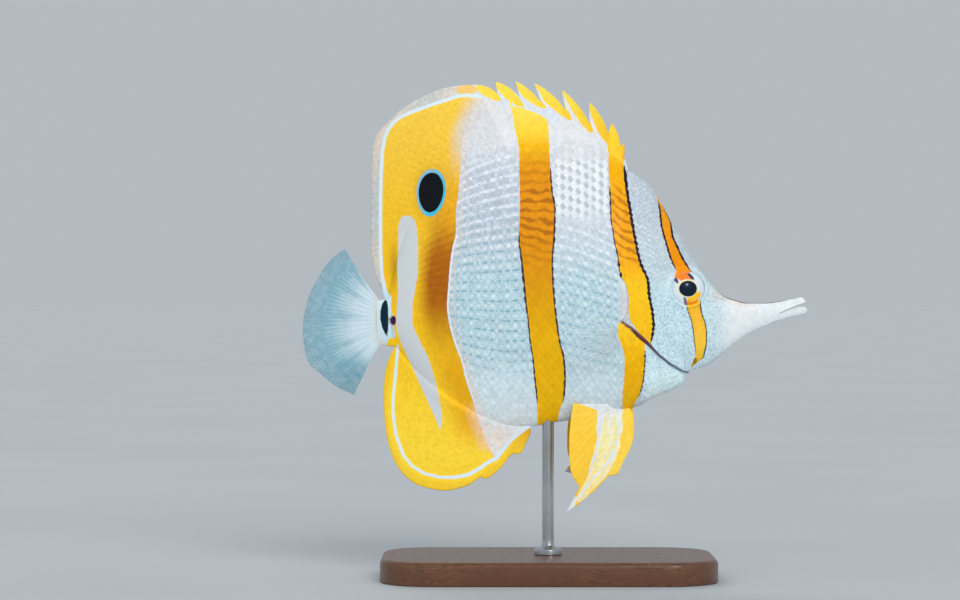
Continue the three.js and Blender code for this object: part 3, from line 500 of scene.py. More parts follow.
    c_gold = c_gold * (1 - 0.85 * soft4[..., None]) + c_out * 0.85 * soft4[..., None]
    soft5 = (which == 4) * step(400, 418, py) * (1 - step(0.0, 4.2, edge_d)) * (1 - step(446, 456, py)) * 0.8 * step(0.2, 1.2, anal)
    c_gold = c_gold * (1 - soft5[..., None]) + lin(246, 206, 164) * soft5[..., None]
    c_pale = np.broadcast_to(lin(214, 230, 240), shape + (3,)).copy()
    c_pale = np.where((streak > -0.1)[..., None], lin(206, 210, 212), c_pale)
    c_oc = lin(132, 188, 212) * (1 - oc_side[..., None]) + lin(62, 186, 214) * oc_side[..., None]
    c_pale = np.where((oc_ring > -0.3)[..., None], c_oc, c_pale)
    c_pale = np.where(((edge4 > -0.2) & (streak < 0))[..., None], lin(226, 234, 244), c_pale)
    arc = bell(x, TAIL_ARC(z), 0.42)
    tw = ramp([(283, (196, 220, 232)), (300, (206, 232, 240)), (340, (206, 230, 238)), (350, (220, 220, 216))], py)
    tw = tw * (1 - 0.75 * arc[..., None]) + lin(244, 208, 168) * 0.75 * arc[..., None]
    c_pale = np.where((tail_white > -0.5)[..., None], tw, c_pale)
    c_dark = np.broadcast_to(lin(58, 36, 50), shape + (3,)).copy()
    c_dark = np.where(((oc_in > -0.6) | (tail_bar > -0.4))[..., None], lin(9, 14, 20), c_dark)
    c_dark = np.where((tail_bar > -0.4)[..., None], lin(4, 36, 52), c_dark)
    c_dark = np.where(((px > 600) & (px < 735) & (py < 342))[..., None], lin(34, 20, 38), c_dark)
    rc = ramp([(700, (44, 30, 46)), (722, (60, 42, 50)), (738, (98, 66, 58)), (750, (82, 72, 78)), (790, (96, 102, 112))], px)
    c_dark = np.where(((px > 700) & (tail_bar < -1))[..., None], rc, c_dark)
    if np.any(head):
        gd = np.full(shape, 9.0)
        gd[head] = near_line(GILL_LOWER, xo[head], zo[head])[0]
        c_dark = np.where((gd < 1.1)[..., None], ramp([(322, (150, 110, 112)), (332, (104, 60, 66)), (342, (92, 52, 72)), (356, (100, 96, 122)), (374, (112, 138, 162))], py), c_dark)
    c_dark = np.where(((np.abs(px - 393) < 5) & (np.abs(py - 319) < 9))[..., None], lin(54, 26, 60), c_dark)

    # scale patterns: grey dots in a white net, teal row lines, brown row lines on the gold
    net = step(150, 166, py) * (1 - step(206, 232, py)) * step(551, 558, px) * (1 - step(612, 620, px))
    net = np.maximum(net, 0.35 * step(120, 135, py) * (1 - step(206, 232, py)) * step(551, 558, px) * (1 - step(612, 620, px)))
    line = np.where(px < 540, step(205, 262, py), 0.8 * step(238, 300, py)) * (1 - step(345, 392, py)) * 0.9 + 0.1
    line = line * (px < 618) + 0.2 * (px >= 618)
    line = np.maximum(line, 0.4 * step(180, 215, py) * (px < 540) * (1 - step(345, 392, py)))
    line = line * step(110, 165, py)
    stripe = np.where(which == 3, (0.4 * step(150, 168, py) + 0.6 * step(180, 192, py)) * (1 - 0.5 * step(232, 250, py)) * (1 - step(252, 276, py)), 0.0)
    stripe = np.where(which == 1, np.maximum(stripe, 0.9 * step(178, 196, py) * (1 - step(255, 270, py))), stripe)
    stripe = np.where(which == 4, np.clip(0.75 * deep * bell(py, 258, 40), 0, 0.45), stripe)
    stripe = stripe + 0.04
    # painted sheen: where white streaks of sheen run along the scale rows
    shine = step(128, 178, py) * (1 - step(236, 272, py)) * (px < 530) * (dors > 0) * 0.5
    shine = np.maximum(shine, step(196, 226, py) * (1 - step(250, 300, py)) * (px > 545) * (px < 630) * 0.42)
    shine = np.maximum(shine, 0.2 * (px > 630) * (1 - step(262, 290, py)) * step(205, 235, py))
    phase = (z + 0.62 * (x - 22.0)) / 2.7 + 0.16 * np.sin(0.9 * x) + 0.1 * np.sin(1.7 * z)
    drop = (py - 191.5 - 0.34 * (px - 537) * step(206, 242, py) * (1 - 0.2 * np.sin(py * 0.3))) / 9.5 + 0.1 * np.sin(px * 0.35 + py * 0.09)
    blotch = np.clip(step(600, 640, px) * step(285, 300, py), 0, 1) * (1 - step(712, 735, px)) * (0.8 - 0.35 * step(356, 376, py)) + 0.15 * (px < 620) * (py > 150)
    return {
        "marks": np.stack([gold, dark, pale], -1),
        "style": np.stack([net, line, stripe], -1),
        "c_out": c_out, "c_gold": c_gold, "c_pale": c_pale, "c_dark": c_dark, "blotch": blotch,
        "width": width, "shine": shine, "phase": np.where(which == 1, phase, np.where(which == 3, drop, -1e3)),
    }


# ---------------------------------------------------------------- meshes


def quads(ns, nt, flip=False):
    i, j = np.meshgrid(np.arange(ns - 1), np.arange(nt - 1), indexing="ij")
    a = (i * nt + j).ravel()
    q = np.stack([a, a + nt, a + nt + 1, a + 1], -1)
    return q[:, ::-1] if flip else q


def strip(a, b):
    """Quads between two rows of vertex numbers."""
    a, b = np.asarray(a), np.asarray(b)
    return np.stack([a[:-1], a[1:], b[1:], b[:-1]], -1)


class Piece:
    """Vertices in mm with their faces, and per vertex the place its markings are read at."""

    def __init__(self):
        self.v, self.q, self.t, self.ref, self.kind, self.loc, self.uv = [], [], [], [], [], [], []
        self.n = 0

    def add(self, v, q=None, t=None, ref=None, kind=0, loc=None, uv=None):
        v = np.asarray(v, float).reshape(-1, 3)
        n = len(v)
        self.v.append(v)
        if q is not None and len(q):
            self.q.append(np.asarray(q) + self.n)
        if t is not None and len(t):
            self.t.append(np.asarray(t) + self.n)
        self.ref.append(v[:, [0, 2]] if ref is None else np.asarray(ref, float).reshape(-1, 2))
        self.kind.append(np.full(n, kind))
        self.loc.append(np.tile([0.5, 0.0, 0.5, 0.5], (n, 1)) if loc is None else np.asarray(loc, float).reshape(-1, 4))
        self.uv.append(np.zeros((n, 2)) if uv is None else np.asarray(uv, float).reshape(-1, 2))
        self.n += n

    def joined(self):
        q = np.vstack(self.q) if self.q else np.zeros((0, 4), int)
        t = np.vstack(self.t) if self.t else np.zeros((0, 3), int)
        return np.vstack(self.v), q, t, np.vstack(self.ref), np.concatenate(self.kind), np.vstack(self.loc), np.vstack(self.uv)


def outward(v, q, t):
    """Turns all faces round when the closed shells enclose a negative volume."""
    def vol(a, b, c):
        return np.einsum("ij,ij->i", v[a], np.cross(v[b], v[c])).sum()

    total = 0.0
    if len(q):
        total += vol(q[:, 0], q[:, 1], q[:, 2]) + vol(q[:, 0], q[:, 2], q[:, 3])
    if len(t):
        total += vol(t[:, 0], t[:, 1], t[:, 2])
    return (q[:, ::-1], t[:, ::-1]) if total < 0 else (q, t)


def make(name, v, q, t=None, attributes=None, uv=None, sharp=None):
    t = np.zeros((0, 3), int) if t is None else t
    me = bpy.data.meshes.new(name)
    me.vertices.add(len(v))
    me.vertices.foreach_set("co", (np.asarray(v) * MM).astype(np.float32).ravel())
    loops = np.concatenate([np.asarray(q).ravel(), np.asarray(t).ravel()]).astype(np.int32)
    me.loops.add(len(loops))
    me.loops.foreach_set("vertex_index", loops)
    starts = np.concatenate([np.arange(len(q)) * 4, len(q) * 4 + np.arange(len(t)) * 3]).astype(np.int32)
    me.polygons.add(len(starts))
    me.polygons.foreach_set("loop_start", starts)
    me.polygons.foreach_set("use_smooth", np.ones(len(starts), bool))
    me.update(calc_edges=True)
    for key, arr in (attributes or {}).items():
        arr = np.asarray(arr, np.float32)
        if arr.ndim == 1:
            me.attributes.new(key, "FLOAT", "POINT").data.foreach_set("value", arr)
        elif key.startswith("c_"):
            full = np.concatenate([arr, np.ones((len(arr), 1), np.float32)], 1)
            me.attributes.new(key, "FLOAT_COLOR", "POINT").data.foreach_set("color", full.ravel())
        else:
            me.attributes.new(key, "FLOAT_VECTOR", "POINT").data.foreach_set("vector", arr.ravel())
    if uv is not None:
        layer = me.uv_layers.new(name="OFBake")
        layer.data.foreach_set("uv", np.asarray(uv, np.float32)[loops].ravel())
    if sharp:
        me.set_sharp_from_angle(angle=math.radians(sharp))
    if me.validate(verbose=False):
        print("validate changed", name)
    ob = bpy.data.objects.new(name, me)
    bpy.context.scene.collection.objects.link(ob)
    return ob


def shell(P, H, N=None):
    """A closed thin shell about a mid surface P (ns, nt, 3) of half thickness H."""
    ns, nt = H.shape
    if N is None:
        N = np.zeros_like(P)
        N[..., 1] = 1.0
    A, B = P + H[..., None] * N, P - H[..., None] * N
    n = ns * nt
    idx = np.arange(n).reshape(ns, nt)
    f = [quads(ns, nt), quads(ns, nt, True) + n]
    f.append(strip(idx[:, 0], idx[:, 0] + n)[:, ::-1])
    f.append(strip(idx[:, -1], idx[:, -1] + n))
    f.append(strip(idx[0], idx[0] + n))
    f.append(strip(idx[-1], idx[-1] + n)[:, ::-1])
    v = np.vstack([A.reshape(-1, 3), B.reshape(-1, 3)])
    q, _ = outward(v, np.vstack(f), np.zeros((0, 3), int))
    return v, q


def normals_of(P):
    gs, gt = np.gradient(P, axis=0), np.gradient(P, axis=1)
    n = np.cross(gs, gt)
    n /= np.maximum(1e-9, np.linalg.norm(n, axis=2, keepdims=True))
    return n if n[..., 1].mean() >= 0 else -n


# ---------------------------------------------------------------- the skin of the body

CORNER = 69.2
UPPER_LIP = Smooth([[79.8, 83.3], [77.35, 82.95], [76.7, 82.68], [73.2, 81.4], [71.4, 80.6], [CORNER, 79.62], [60, 78.4], [50, 78.2]])
LOWER_LIP = Smooth([[79.8, 80.2], [77.8, 80.6], [77.2, 81.15], [76.2, 81.42], [73.2, 80.72], [71.2, 80.02], [CORNER, 79.4], [60, 78.2], [50, 78.0]])
NU, NB, NL = 56, 6, 50


def lip_angle(x, z, d):
    mid = mid_line(x)
    edge = np.where(z >= mid, top(x) - d, belly(x) + d)
    c = np.clip((z - mid) / (edge - mid), 0, 0.985)
    return np.where(z >= mid, np.arccos(c), math.pi - np.arccos(c))


def body_skin(piece):
    head = np.arange(77.8, 20, -0.4)
    xs = np.r_[77.8, 77.72, 77.55, 77.3, head[2:], np.arange(20, -51.6, -0.92), -51.6]
    corner = int(np.argmin(np.abs(xs - CORNER)))
    xs[corner] = CORNER
    rows = NU + 2 * NB + NL
    sides = {}
    for side in (-1, 1):
        P = np.zeros((len(xs), rows, 3))
        for k, x in enumerate(xs):
            d = float(inset_at(x))
            open_mouth = k < corner
            xu = 75.9 + (x - 75.9) * 1.45 / 1.9 if x > 75.9 else x
            if x >= 62:
                au = float(lip_angle(xu, UPPER_LIP(xu), d))
                al = float(lip_angle(x, LOWER_LIP(x), d))
                if not open_mouth:
                    m = 0.5 * (au + al)
                    au, al = m - 0.02, m + 0.02
            else:
                m0 = 0.5 * float(lip_angle(62.0, UPPER_LIP(62.0), d) + lip_angle(62.0, LOWER_LIP(62.0), d))
                m = m0 + (1.5 - m0) * float(step(62, 50, x))
                half = 0.02 + 0.07 * float(step(62, 50, x))
                au, al = m - half, m + half
            ev = lambda u: u + 0.25 / math.pi * np.sin(math.pi * u) * (1 if x < 60 else 0.4)
            uu = ev(np.linspace(0, 1, NU))
            ll = 1 - ev(np.linspace(1, 0, NL))
            up = section(np.full(NU, xu), uu * au, side)
            lo = section(np.full(NL, x), al + ll * (math.pi - al), side)
            if open_mouth:
                bulge_u = 0.1 * np.exp(-((up[:, 2] - up[-1, 2]) / 0.45) ** 2)
                bulge_l = 0.1 * np.exp(-((lo[:, 2] - lo[0, 2]) / 0.45) ** 2)
                up[:, 1] += side * bulge_u
                lo[:, 1] += side * bulge_l
                th = np.linspace(0, 1, NB + 1)[1:]
                yu, yl = up[-1, 1], lo[0, 1]
                r_u = min(0.3, 0.35 * (up[0, 2] - up[-1, 2]))
                r_l = min(0.3, 0.35 * (lo[0, 2] - lo[-1, 2]))
                bu = np.stack([np.full(NB, xu), yu * np.cos(th * math.pi / 2), up[-1, 2] - 0.12 * np.sin(th * math.pi) + r_u * th], -1)
                bl = np.stack([np.full(NB, x), yl * np.cos(th * math.pi / 2), lo[0, 2] + 0.12 * np.sin(th * math.pi) - r_l * th], -1)[::-1]
            else:
                th = np.linspace(0, 1, 2 * NB + 2)[1:-1]
                both = section(np.full(2 * NB, x), au + (al - au) * th, side)
                bu, bl = both[:NB], both[NB:]
            P[k] = np.vstack([up, bu, bl, lo])
        P[..., 1] += side * relief(P[..., 0], P[..., 2])
        # the open mouth's floor and roof keep to the middle
        inner = slice(NU, NU + 2 * NB)
        P[:corner, inner, 1] -= side * relief(P[:corner, inner, 0], P[:corner, inner, 2])
        sides[side] = P
    nx = len(xs)
    ring = np.concatenate([sides[-1], sides[1][:, ::-1]], 1)
    m = ring.shape[1]
    idx = np.arange(nx * m).reshape(nx, m)
    apex_u, apex_l = NU + NB - 1, NU + NB
    # right and left share the middle of the mouth's roof and floor
    left_u, left_l = m - 1 - apex_u, m - 1 - apex_l
    idx[:corner, left_u] = idx[:corner, apex_u]
    idx[:corner, left_l] = idx[:corner, apex_l]
    ring[:corner, apex_u, 1] = 0
    ring[:corner, apex_l, 1] = 0
    f = []
    for j in range(m):
        j2 = (j + 1) % m
        a = strip(idx[:, j], idx[:, j2])
        gap = {j, j2} == {apex_u, apex_l} or {j, j2} == {left_u, left_l}
        if gap:
            a = a[corner - 1:]
        f.append(a)
    q = np.vstack(f)
    verts = ring.reshape(-1, 3)
    tris, extra = [], []

    def cap(loop):
        c = verts[loop].mean(0)
        k = len(verts) + len(extra)
        extra.append(c)
        for a, b in zip(loop, np.roll(loop, -1)):
            if a != b:
                tris.append((b, a, k))

    upper = np.r_[idx[0, : apex_u + 1], idx[0, left_u:]]
    lower = np.r_[idx[0, apex_l : left_l + 1]]
    cap(upper)
    cap(lower)
    cap(idx[-1][::-1])
    v = np.vstack([verts, np.array(extra)])
    t = np.array(tris)
    q, t2 = outward(v, q, np.zeros((0, 3), int))
    if not np.array_equal(q[0], f[0][0]):
        t = t[:, ::-1]
    piece.add(v, q, t)


# ---------------------------------------------------------------- fins

SOFT_DORSAL_MARGIN = Along([[-21.9, 148.2], [-27.9, 147.8], [-32.5, 146.9], [-36.9, 145.2], [-40.9, 143.2], [-45, 140.4], [-48.1, 137.6], [-50.7, 135.2], [-52.1, 133.2], [-53.1, 128.4], [-53.6, 113.4], [-53.6, 98.4], [-52.5, 92.4], [-50.1, 86.4], [-48.6, 84.3]])
ANAL_MARGIN = Along([[-4.5, 45.1], [-6.4, 40.7], [-8.7, 37.1], [-10, 37.2], [-14.2, 32.9], [-19.1, 29.6], [-19.8, 30.1], [-24.1, 27.6], [-31.2, 26], [-38.4, 27.3], [-44.3, 31.5], [-47.6, 37.8], [-49.2, 45.6], [-49.7, 54], [-49.2, 61.3], [-47.2, 67.2], [-45.6, 69.1]])
SPINE_TIPS = np.array([[22.3, 126.6], [22.4, 130.6], [18.8, 136.7], [12.2, 143], [3.9, 146.7], [-4.3, 148.7], [-10, 149.3], [-16, 149.1], [-21.6, 148.2]])
SPINE_NOTCHES = np.array([[23.9, 124], [22.9, 127.2], [21.6, 129.7], [18.1, 133], [12.7, 135.8], [5.7, 139.8], [-1.2, 141.6], [-7.8, 143.7], [-14.5, 145]])
SPINE_ROOTS = np.array([23.6, 21.4, 18.2, 14.2, 9.6, 4.8, 0, -4.8, -9.4])
DEEP = 3.0  # how far a fin's root is buried


def rays(s, t, count, split=(2.0, 2.0), sharp=1.6):
    """Ridges of fin rays, 0 to 1, that branch outwards at the heights in split."""
    out = (0.5 + 0.5 * np.cos(2 * math.pi * (count * s - 0.5))) ** sharp
    for k, at in enumerate(split):
        n = count * 2 ** (k + 1)
        finer = (0.5 + 0.5 * np.cos(2 * math.pi * (n * s - 0.5 * (k + 1) % 1))) ** sharp
        w = step(at - 0.12, at + 0.08, t)
        out = out * (1 - w) + finer * w
    return out


def fin(root, margin, ns, nt, half_root, edge=0.16, ray=(30, (0.5, 2)), amp=0.07, scallop=0.12, sway=None, fade=1.35, fillet=None):
    """Mid surface and half thickness of a fin between a root line and its margin, both (s) -> x, z."""
    s = np.linspace(0, 1, ns)[:, None]
    tau = np.linspace(0, 1, nt)[None, :]
    t = 1 - (1 - tau) ** 1.25
    rx, rz = root(s)
    mx, mz = margin(s)
    length = np.hypot(mx - rx, mz - rz)
    count, split = ray
    ridge = rays(s, t, count, split)
    reach = 1 - scallop * (1 - ridge[:, -1:]) / np.maximum(2.0, length) * step(0.7, 1, t)
    x, z = rx + (mx - rx) * t * reach, rz + (mz - rz) * t * reach
    y = bend(x)
    if sway is not None:
        y = y + sway(s, t)
    over = t * length - DEEP - 0.3
    H = edge + (half_root(s) - edge) * np.clip(1 - over / np.maximum(1.0, length - DEEP), 0, 1) ** fade
    if fillet is not None:
        H = H + fillet(s) * np.exp(-np.maximum(over, -1.0) / 3.4)
    H = H + amp * (ridge - 0.35) * step(0.04, 0.3, t) * (1 - 0.4 * t)
    t0 = 1 - 0.45 / np.maximum(1.0, length)
    H = np.maximum(0.02, H * np.sqrt(np.maximum(0, 1 - np.clip((t - t0) / (1 - t0), 0, 1) ** 2)))
    return np.stack([x, y + 0 * x, z], -1), H


def soft_root(s):
    x = -11.2 + (-48.4 + 11.2) * s**0.86
    px, pz = clear_of(top, x, 1)
    return px - 0 * px, pz - GAP - DEEP * step(0, 1, 1.0)


def soft_margin(s):
    return SOFT_DORSAL_MARGIN(s * 0.985)


def anal_root(s):
    x = -4.9 + (-45.2 + 4.9) * s**0.9
    px, pz = clear_of(belly, x, -1)
    return px, pz + GAP + DEEP


def anal_margin(s):
    return ANAL_MARGIN(0.02 + 0.965 * s)


def thin(v):
    return np.maximum(0.3, v - 0.22)


def soft_dorsal():
    return fin(soft_root, soft_margin, 196, 40, lambda s: thin(ridge_top(soft_root(s)[0]) * (1 - 0.5 * s * s)), ray=(30, (0.55, 2)), amp=0.08, scallop=0.2, fillet=lambda s: 0.95 - 0.6 * s,
               sway=lambda s, t: 0.35 * t**3 * np.sin(5.5 * s + 0.4) * (1 - 0.4 * s))


def anal_fin():
    return fin(anal_root, anal_margin, 168, 36, lambda s: thin(ridge_belly(anal_root(s)[0]) * (1 - 0.4 * s * s)), ray=(24, (0.55, 2)), amp=0.08, scallop=0.12, fillet=lambda s: 0.3 + 2.2 * s * (1 - s),
               sway=lambda s, t: 0.3 * t**3 * np.sin(5.0 * s + 1.2))


def catmull(points, t):
    """A smooth line through three points; t runs 0 to 1."""
    a, b, c = [np.asarray(p, float) for p in points]
    t = np.asarray(t)[..., None]
    k = np.linalg.norm(b - a) / (np.linalg.norm(b - a) + np.linalg.norm(c - b))
    tb = (c - a) / 1.0
    lo = np.clip(t / k, 0, 1)
    hi = np.clip((t - k) / (1 - k), 0, 1)
    m0, m1, m2 = 2 * (b - a) - tb * k, tb * k, tb * (1 - k)
    first = a * (1 + 2 * lo) * (1 - lo) ** 2 + b * (3 - 2 * lo) * lo**2 + m0 * lo * (1 - lo) ** 2 - m1 * lo**2 * (1 - lo)
    m3 = 2 * (c - b) - m2
    second = b * (1 + 2 * hi) * (1 - hi) ** 2 + c * (3 - 2 * hi) * hi**2 + m2 * hi * (1 - hi) ** 2 - m3 * hi**2 * (1 - hi)
    return np.where(t < k, first, second)


def spine_line(i, t):
    rx = SPINE_ROOTS[i]
    _, rz = clear_of(top, rx, 1)
    n, e = SPINE_NOTCHES[i], SPINE_TIPS[i]
    return catmull([(rx, float(rz) - 0.6), (n[0] - 0.4, n[1] - 0.5), (e[0] + 0.3, e[1] - 0.3)], t)


def spiny_dorsal(piece):
    nt = 26
    t = np.linspace(0, 1, nt)
    for i in range(9):
        C = spine_line(i, t)
        if i < 8:
            end = SPINE_NOTCHES[i + 1]
            full = spine_line(i + 1, np.linspace(0, 1, 60))
            k = int(np.argmin(np.hypot(full[:, 0] - end[0] + 0.4, full[:, 1] - end[1] + 0.5)))
            D = spine_line(i + 1, t * k / 59.0)
        else:
            rx, rz = soft_root(np.array([0.0]))
            mx, mz = soft_margin(np.array([0.0]))
            D = np.stack([rx + (mx - rx) * t, rz + (mz - rz) * t], -1)
        ns = 15
        s = np.linspace(0, 1, ns)[:, None, None]
        lag = s * (1 - s) * 0.5 * t[None, :, None]
        P2 = (1 - s) * C[None] + s * D[None]
        P2 = P2 + lag * (C[0] - C[-1])[None, None] * 0.02
        # start well inside the back
        P2[:, 0, 1] -= 2.4
        P = np.stack([P2[..., 0], bend(P2[..., 0]), P2[..., 1]], -1)
        over = np.maximum(0, P2[..., 1] - top(P2[..., 0]))
        H = 0.17 + (np.maximum(0.3, ridge_top(P2[..., 0]) - 0.2) - 0.17) * np.exp(-over / 2.8)
        H = H + 0.85 * step(20, 4, P2[..., 0]) * np.exp(-np.maximum(over, -0.5) / 2.8)
        H = H + 0.03 * np.sin(s[..., 0] * 14 + i) * t[None]
        if i == 8:
            reach = float(np.hypot(D[-1, 0] - rx[0], D[-1, 1] - rz[0]))
            past = t * reach - DEEP - 0.3
            meet = 0.16 + (float(thin(ridge_top(rx[0]))) - 0.16) * np.clip(1 - past / (reach - DEEP), 0, 1) ** 1.35
            meet = meet + 0.95 * np.exp(-np.maximum(past, -1.0) / 3.4) - 0.028 * step(0.04, 0.3, t) * (1 - 0.4 * t)
            share = s[..., 0] ** 2
            H = H * (1 - share) + meet[None] * share
            P[..., 1] += share * 0.35 * t[None] ** 3 * math.sin(0.4)
        H[:, -1] = 0.03
        H[:, -2] = np.minimum(H[:, -2], 0.13)
        piece.add(*shell(P, H))
        # the spine itself
        n, m = 24, 12
        tt = np.linspace(0, 1, n)
        L = spine_line(i, tt)
        tang = np.gradient(L, axis=0)
        tang /= np.linalg.norm(tang, axis=1, keepdims=True)
        side = np.stack([-tang[:, 1], tang[:, 0]], -1)
        r = 0.46 - 0.3 * tt**1.4
        r[-2:] = (0.13, 0.05)
        ang = np.linspace(0, 2 * math.pi, m, endpoint=False)
        C3 = np.stack([L[:, 0], bend(L[:, 0]), L[:, 1]], -1)
        ring = C3[:, None] + r[:, None, None] * (np.cos(ang)[None, :, None] * np.array([0, 1.0, 0]) + np.sin(ang)[None, :, None] * np.stack([side[:, 0], 0 * side[:, 0], side[:, 1]], -1)[:, None])
        v = ring.reshape(-1, 3)
        idx = np.arange(n * m).reshape(n, m)
        f = np.vstack([strip(idx[:, j], idx[:, (j + 1) % m]) for j in range(m)])
        tri = [(idx[-1, j], idx[-1, (j + 1) % m], n * m) for j in range(m)] + [(idx[0, (j + 1) % m], idx[0, j], n * m + 1) for j in range(m)]
        v = np.vstack([v, C3[-1] + [tang[-1, 0] * 0.06, 0, tang[-1, 1] * 0.06], C3[0]])
        q2, t2 = outward(v, f, np.array(tri))
        piece.add(v, q2, t2)


PELVIC_RIM = Along([[25.5, 50], [25.7, 46.2], [25.5, 42.3], [24.5, 39], [23.2, 36.6], [21.8, 33.9], [20.4, 31.3], [18, 30.9], [16.2, 29.1], [13.7, 26.6], [10, 23.5], [7.4, 21.6], [5, 20.1], [6.6, 22.3], [8.5, 24.8], [9.3, 26.7], [6.8, 31.8], [6.1, 36.3], [6.1, 41.4], [6.6, 47.8], [7.3, 52.6]])
PELVIC_RIM_LEFT = Along([[25.5, 50], [25.7, 46.2], [25.5, 42.3], [24.5, 39], [23.2, 36.6], [21.8, 33.9], [20.4, 31.3], [18, 30.9], [16.2, 29.1], [13.7, 26.6], [10, 25.2], [5.5, 26.4], [7.6, 26.6], [9.3, 28.7], [6.8, 31.8], [6.1, 36.3], [6.1, 41.4], [6.6, 47.8], [7.3, 52.6]])


def pelvic(side):
    """side -1 is the fish's right. Returns mid surface, half thickness and the place in the unswung fin."""
    down, out = (1.0, 0.1) if side < 0 else (0.8, 0.4)
    ns, nt = 100, 40
    s = np.linspace(0, 1, ns)[:, None]
    tau = np.linspace(0, 1, nt)[None, :]
    t = 1 - (1 - tau) ** 1.2
    mx, mz = (PELVIC_RIM if side < 0 else PELVIC_RIM_LEFT)(s)
    rx = 25.0 - 5.4 * step(0, 1, s)
    rz = 50.6 + 1.6 * s
    x, z = rx + (mx - rx) * t, rz + (mz - rz) * t
    length = np.hypot(mx - rx, mz - rz)
    angle = np.unwrap(np.arctan2(mz - rz, mx - rx), axis=0)
    f = (angle - angle[0]) / (angle[-1] - angle[0])
    f = np.maximum.accumulate(f if f[-1, 0] >= 0 else -f, axis=0)
    ridge = rays(f, t, 7, (0.35, 0.7), 1.3)
    H = 0.17 + 0.3 * (1 - t) ** 1.5 + 0.09 * (ridge - 0.35) * step(0.05, 0.3, t)
    front = np.exp(-((f - 0.0) / 0.05) ** 2)
    H = H + 0.22 * front * (1 - t) ** 0.4
    t0 = 1 - 0.45 / np.maximum(1.5, length)
    H = np.maximum(0.02, H * np.sqrt(np.maximum(0, 1 - np.clip((t - t0) / (1 - t0), 0, 1) ** 2)))
    H[0], H[-1] = H[0] * 0.3, H[-1] * 0.3
    zz = np.where(z < 50, 50 + (z - 50) * down, z)
    y = side * (3.0 + np.maximum(-4, 20.4 - x) * 0.27 + np.maximum(0, 50 - z) * out + 0.25 * t * np.sin(9 * s))
    # the root goes in under the belly
    y = y - side * 0.9 * (1 - step(0, 0.18, t))
    P = np.stack([x, y, zz], -1)
    return P, H, np.stack([x, z], -1)


PECTORAL_RIM = Along([[20.4, 75.3], [15.6, 77.4], [11.1, 78.1], [7.2, 77], [5.1, 73.2], [4.6, 69], [6, 64.8], [9.6, 62.4], [14.7, 64.2], [18.6, 67.5], [21, 69.9]])


def pectoral(side):
    ns, nt = 135, 36
    s = np.linspace(0, 1, ns)[:, None]
    tau = np.linspace(0, 1, nt)[None, :]
    t = 1 - (1 - tau) ** 1.2
    mx, mz = PECTORAL_RIM(s)
    rx, rz = 20.9 + 0.2 * s, 74.3 - 3.6 * s
    ridge = rays(s, t, 15, (0.45, 0.78), 1.3)
    length = np.hypot(mx - rx, mz - rz)
    reach = 1 - 0.3 * (1 - ridge[:, -1:]) / np.maximum(2.0, length) * step(0.7, 1, t)
    x, z = rx + (mx - rx) * t * reach, rz + (mz - rz) * t * reach
    base = float(body_half(20.6, 72.6))
    y = base + 0.35 + np.maximum(0, 20.6 - x) * 0.9 + 0.7 * np.sin(math.pi * np.clip(t, 0, 1)) * 0.6
    y = y - 1.3 * (1 - step(0.0, 0.16, t))
    H = 0.13 + 0.45 * np.exp(-t / 0.12) + 0.07 * (ridge - 0.35) * step(0.08, 0.3, t)
    t0 = 1 - 0.35 / np.maximum(1.5, length)
    H = np.maximum(0.02, H * np.sqrt(np.maximum(0, 1 - np.clip((t - t0) / (1 - t0), 0, 1) ** 2)))
    H[0], H[-1] = H[0] * 0.5, H[-1] * 0.5
    P = np.stack([x, side * y, z], -1)
    return P, H, np.stack([s + 0 * t, t + 0 * s], -1)


CAUDAL_RIM = Along([[-61.8, 99.3], [-66, 96], [-70.8, 89.4], [-73.5, 83.4], [-75, 74.4], [-73.5, 64.8], [-69.3, 60.6], [-64.2, 56.7], [-58.8, 54.3]])


def caudal():
    ns, nt = 275, 42
    s = np.linspace(0, 1, ns)[:, None]
    tau = np.linspace(0, 1, nt)[None, :]
    t = 1 - (1 - tau) ** 1.15
    mx, mz = CAUDAL_RIM(s)
    rx, rz = -50.4 + 0 * s, 82.7 - 12.4 * s
    ridge = rays(s, t, 17, (0.4, 0.75), 1.3)
    length = np.hypot(mx - rx, mz - rz)
    reach = 1 - 0.35 * (1 - ridge[:, -1:]) / length * step(0.75, 1, t)
    x = rx + (mx - rx) * t * reach
    z = rz + (mz - rz) * t * reach
    # the outer rays bow a little before they spread
    bow = (np.abs(2 * s - 1) ** 3) * np.sign(s - 0.5) * 1.6 * np.sin(math.pi * t) * 0.5
    z = z + bow
    y = bend(x) + 0.35 * t * t * np.sin(7 * s + 0.5)
    H = 0.12 + 0.75 * (1 - t) ** 3 + 0.1 * (ridge - 0.35) * step(0.02, 0.25, t)
    t0 = 1 - 0.45 / length
    H = np.maximum(0.02, H * np.sqrt(np.maximum(0, 1 - np.clip((t - t0) / (1 - t0), 0, 1) ** 2)))
    H[0], H[-1] = H[0] * 0.5, H[-1] * 0.5
    return np.stack([x, y + 0 * x, z], -1), H, np.stack([s + 0 * t, t + 0 * s], -1)


WHITE_A = grid([(601, 406), (600, 414), (598.8, 424), (597.6, 434), (597.2, 441), (594.5, 452), (591, 463), (588.5, 473)])
WHITE_B = grid([(619.4, 406), (618.5, 425), (617, 438), (613, 450), (609.5, 459), (601, 469), (592, 477), (584, 487), (576, 497), (565, 511)])


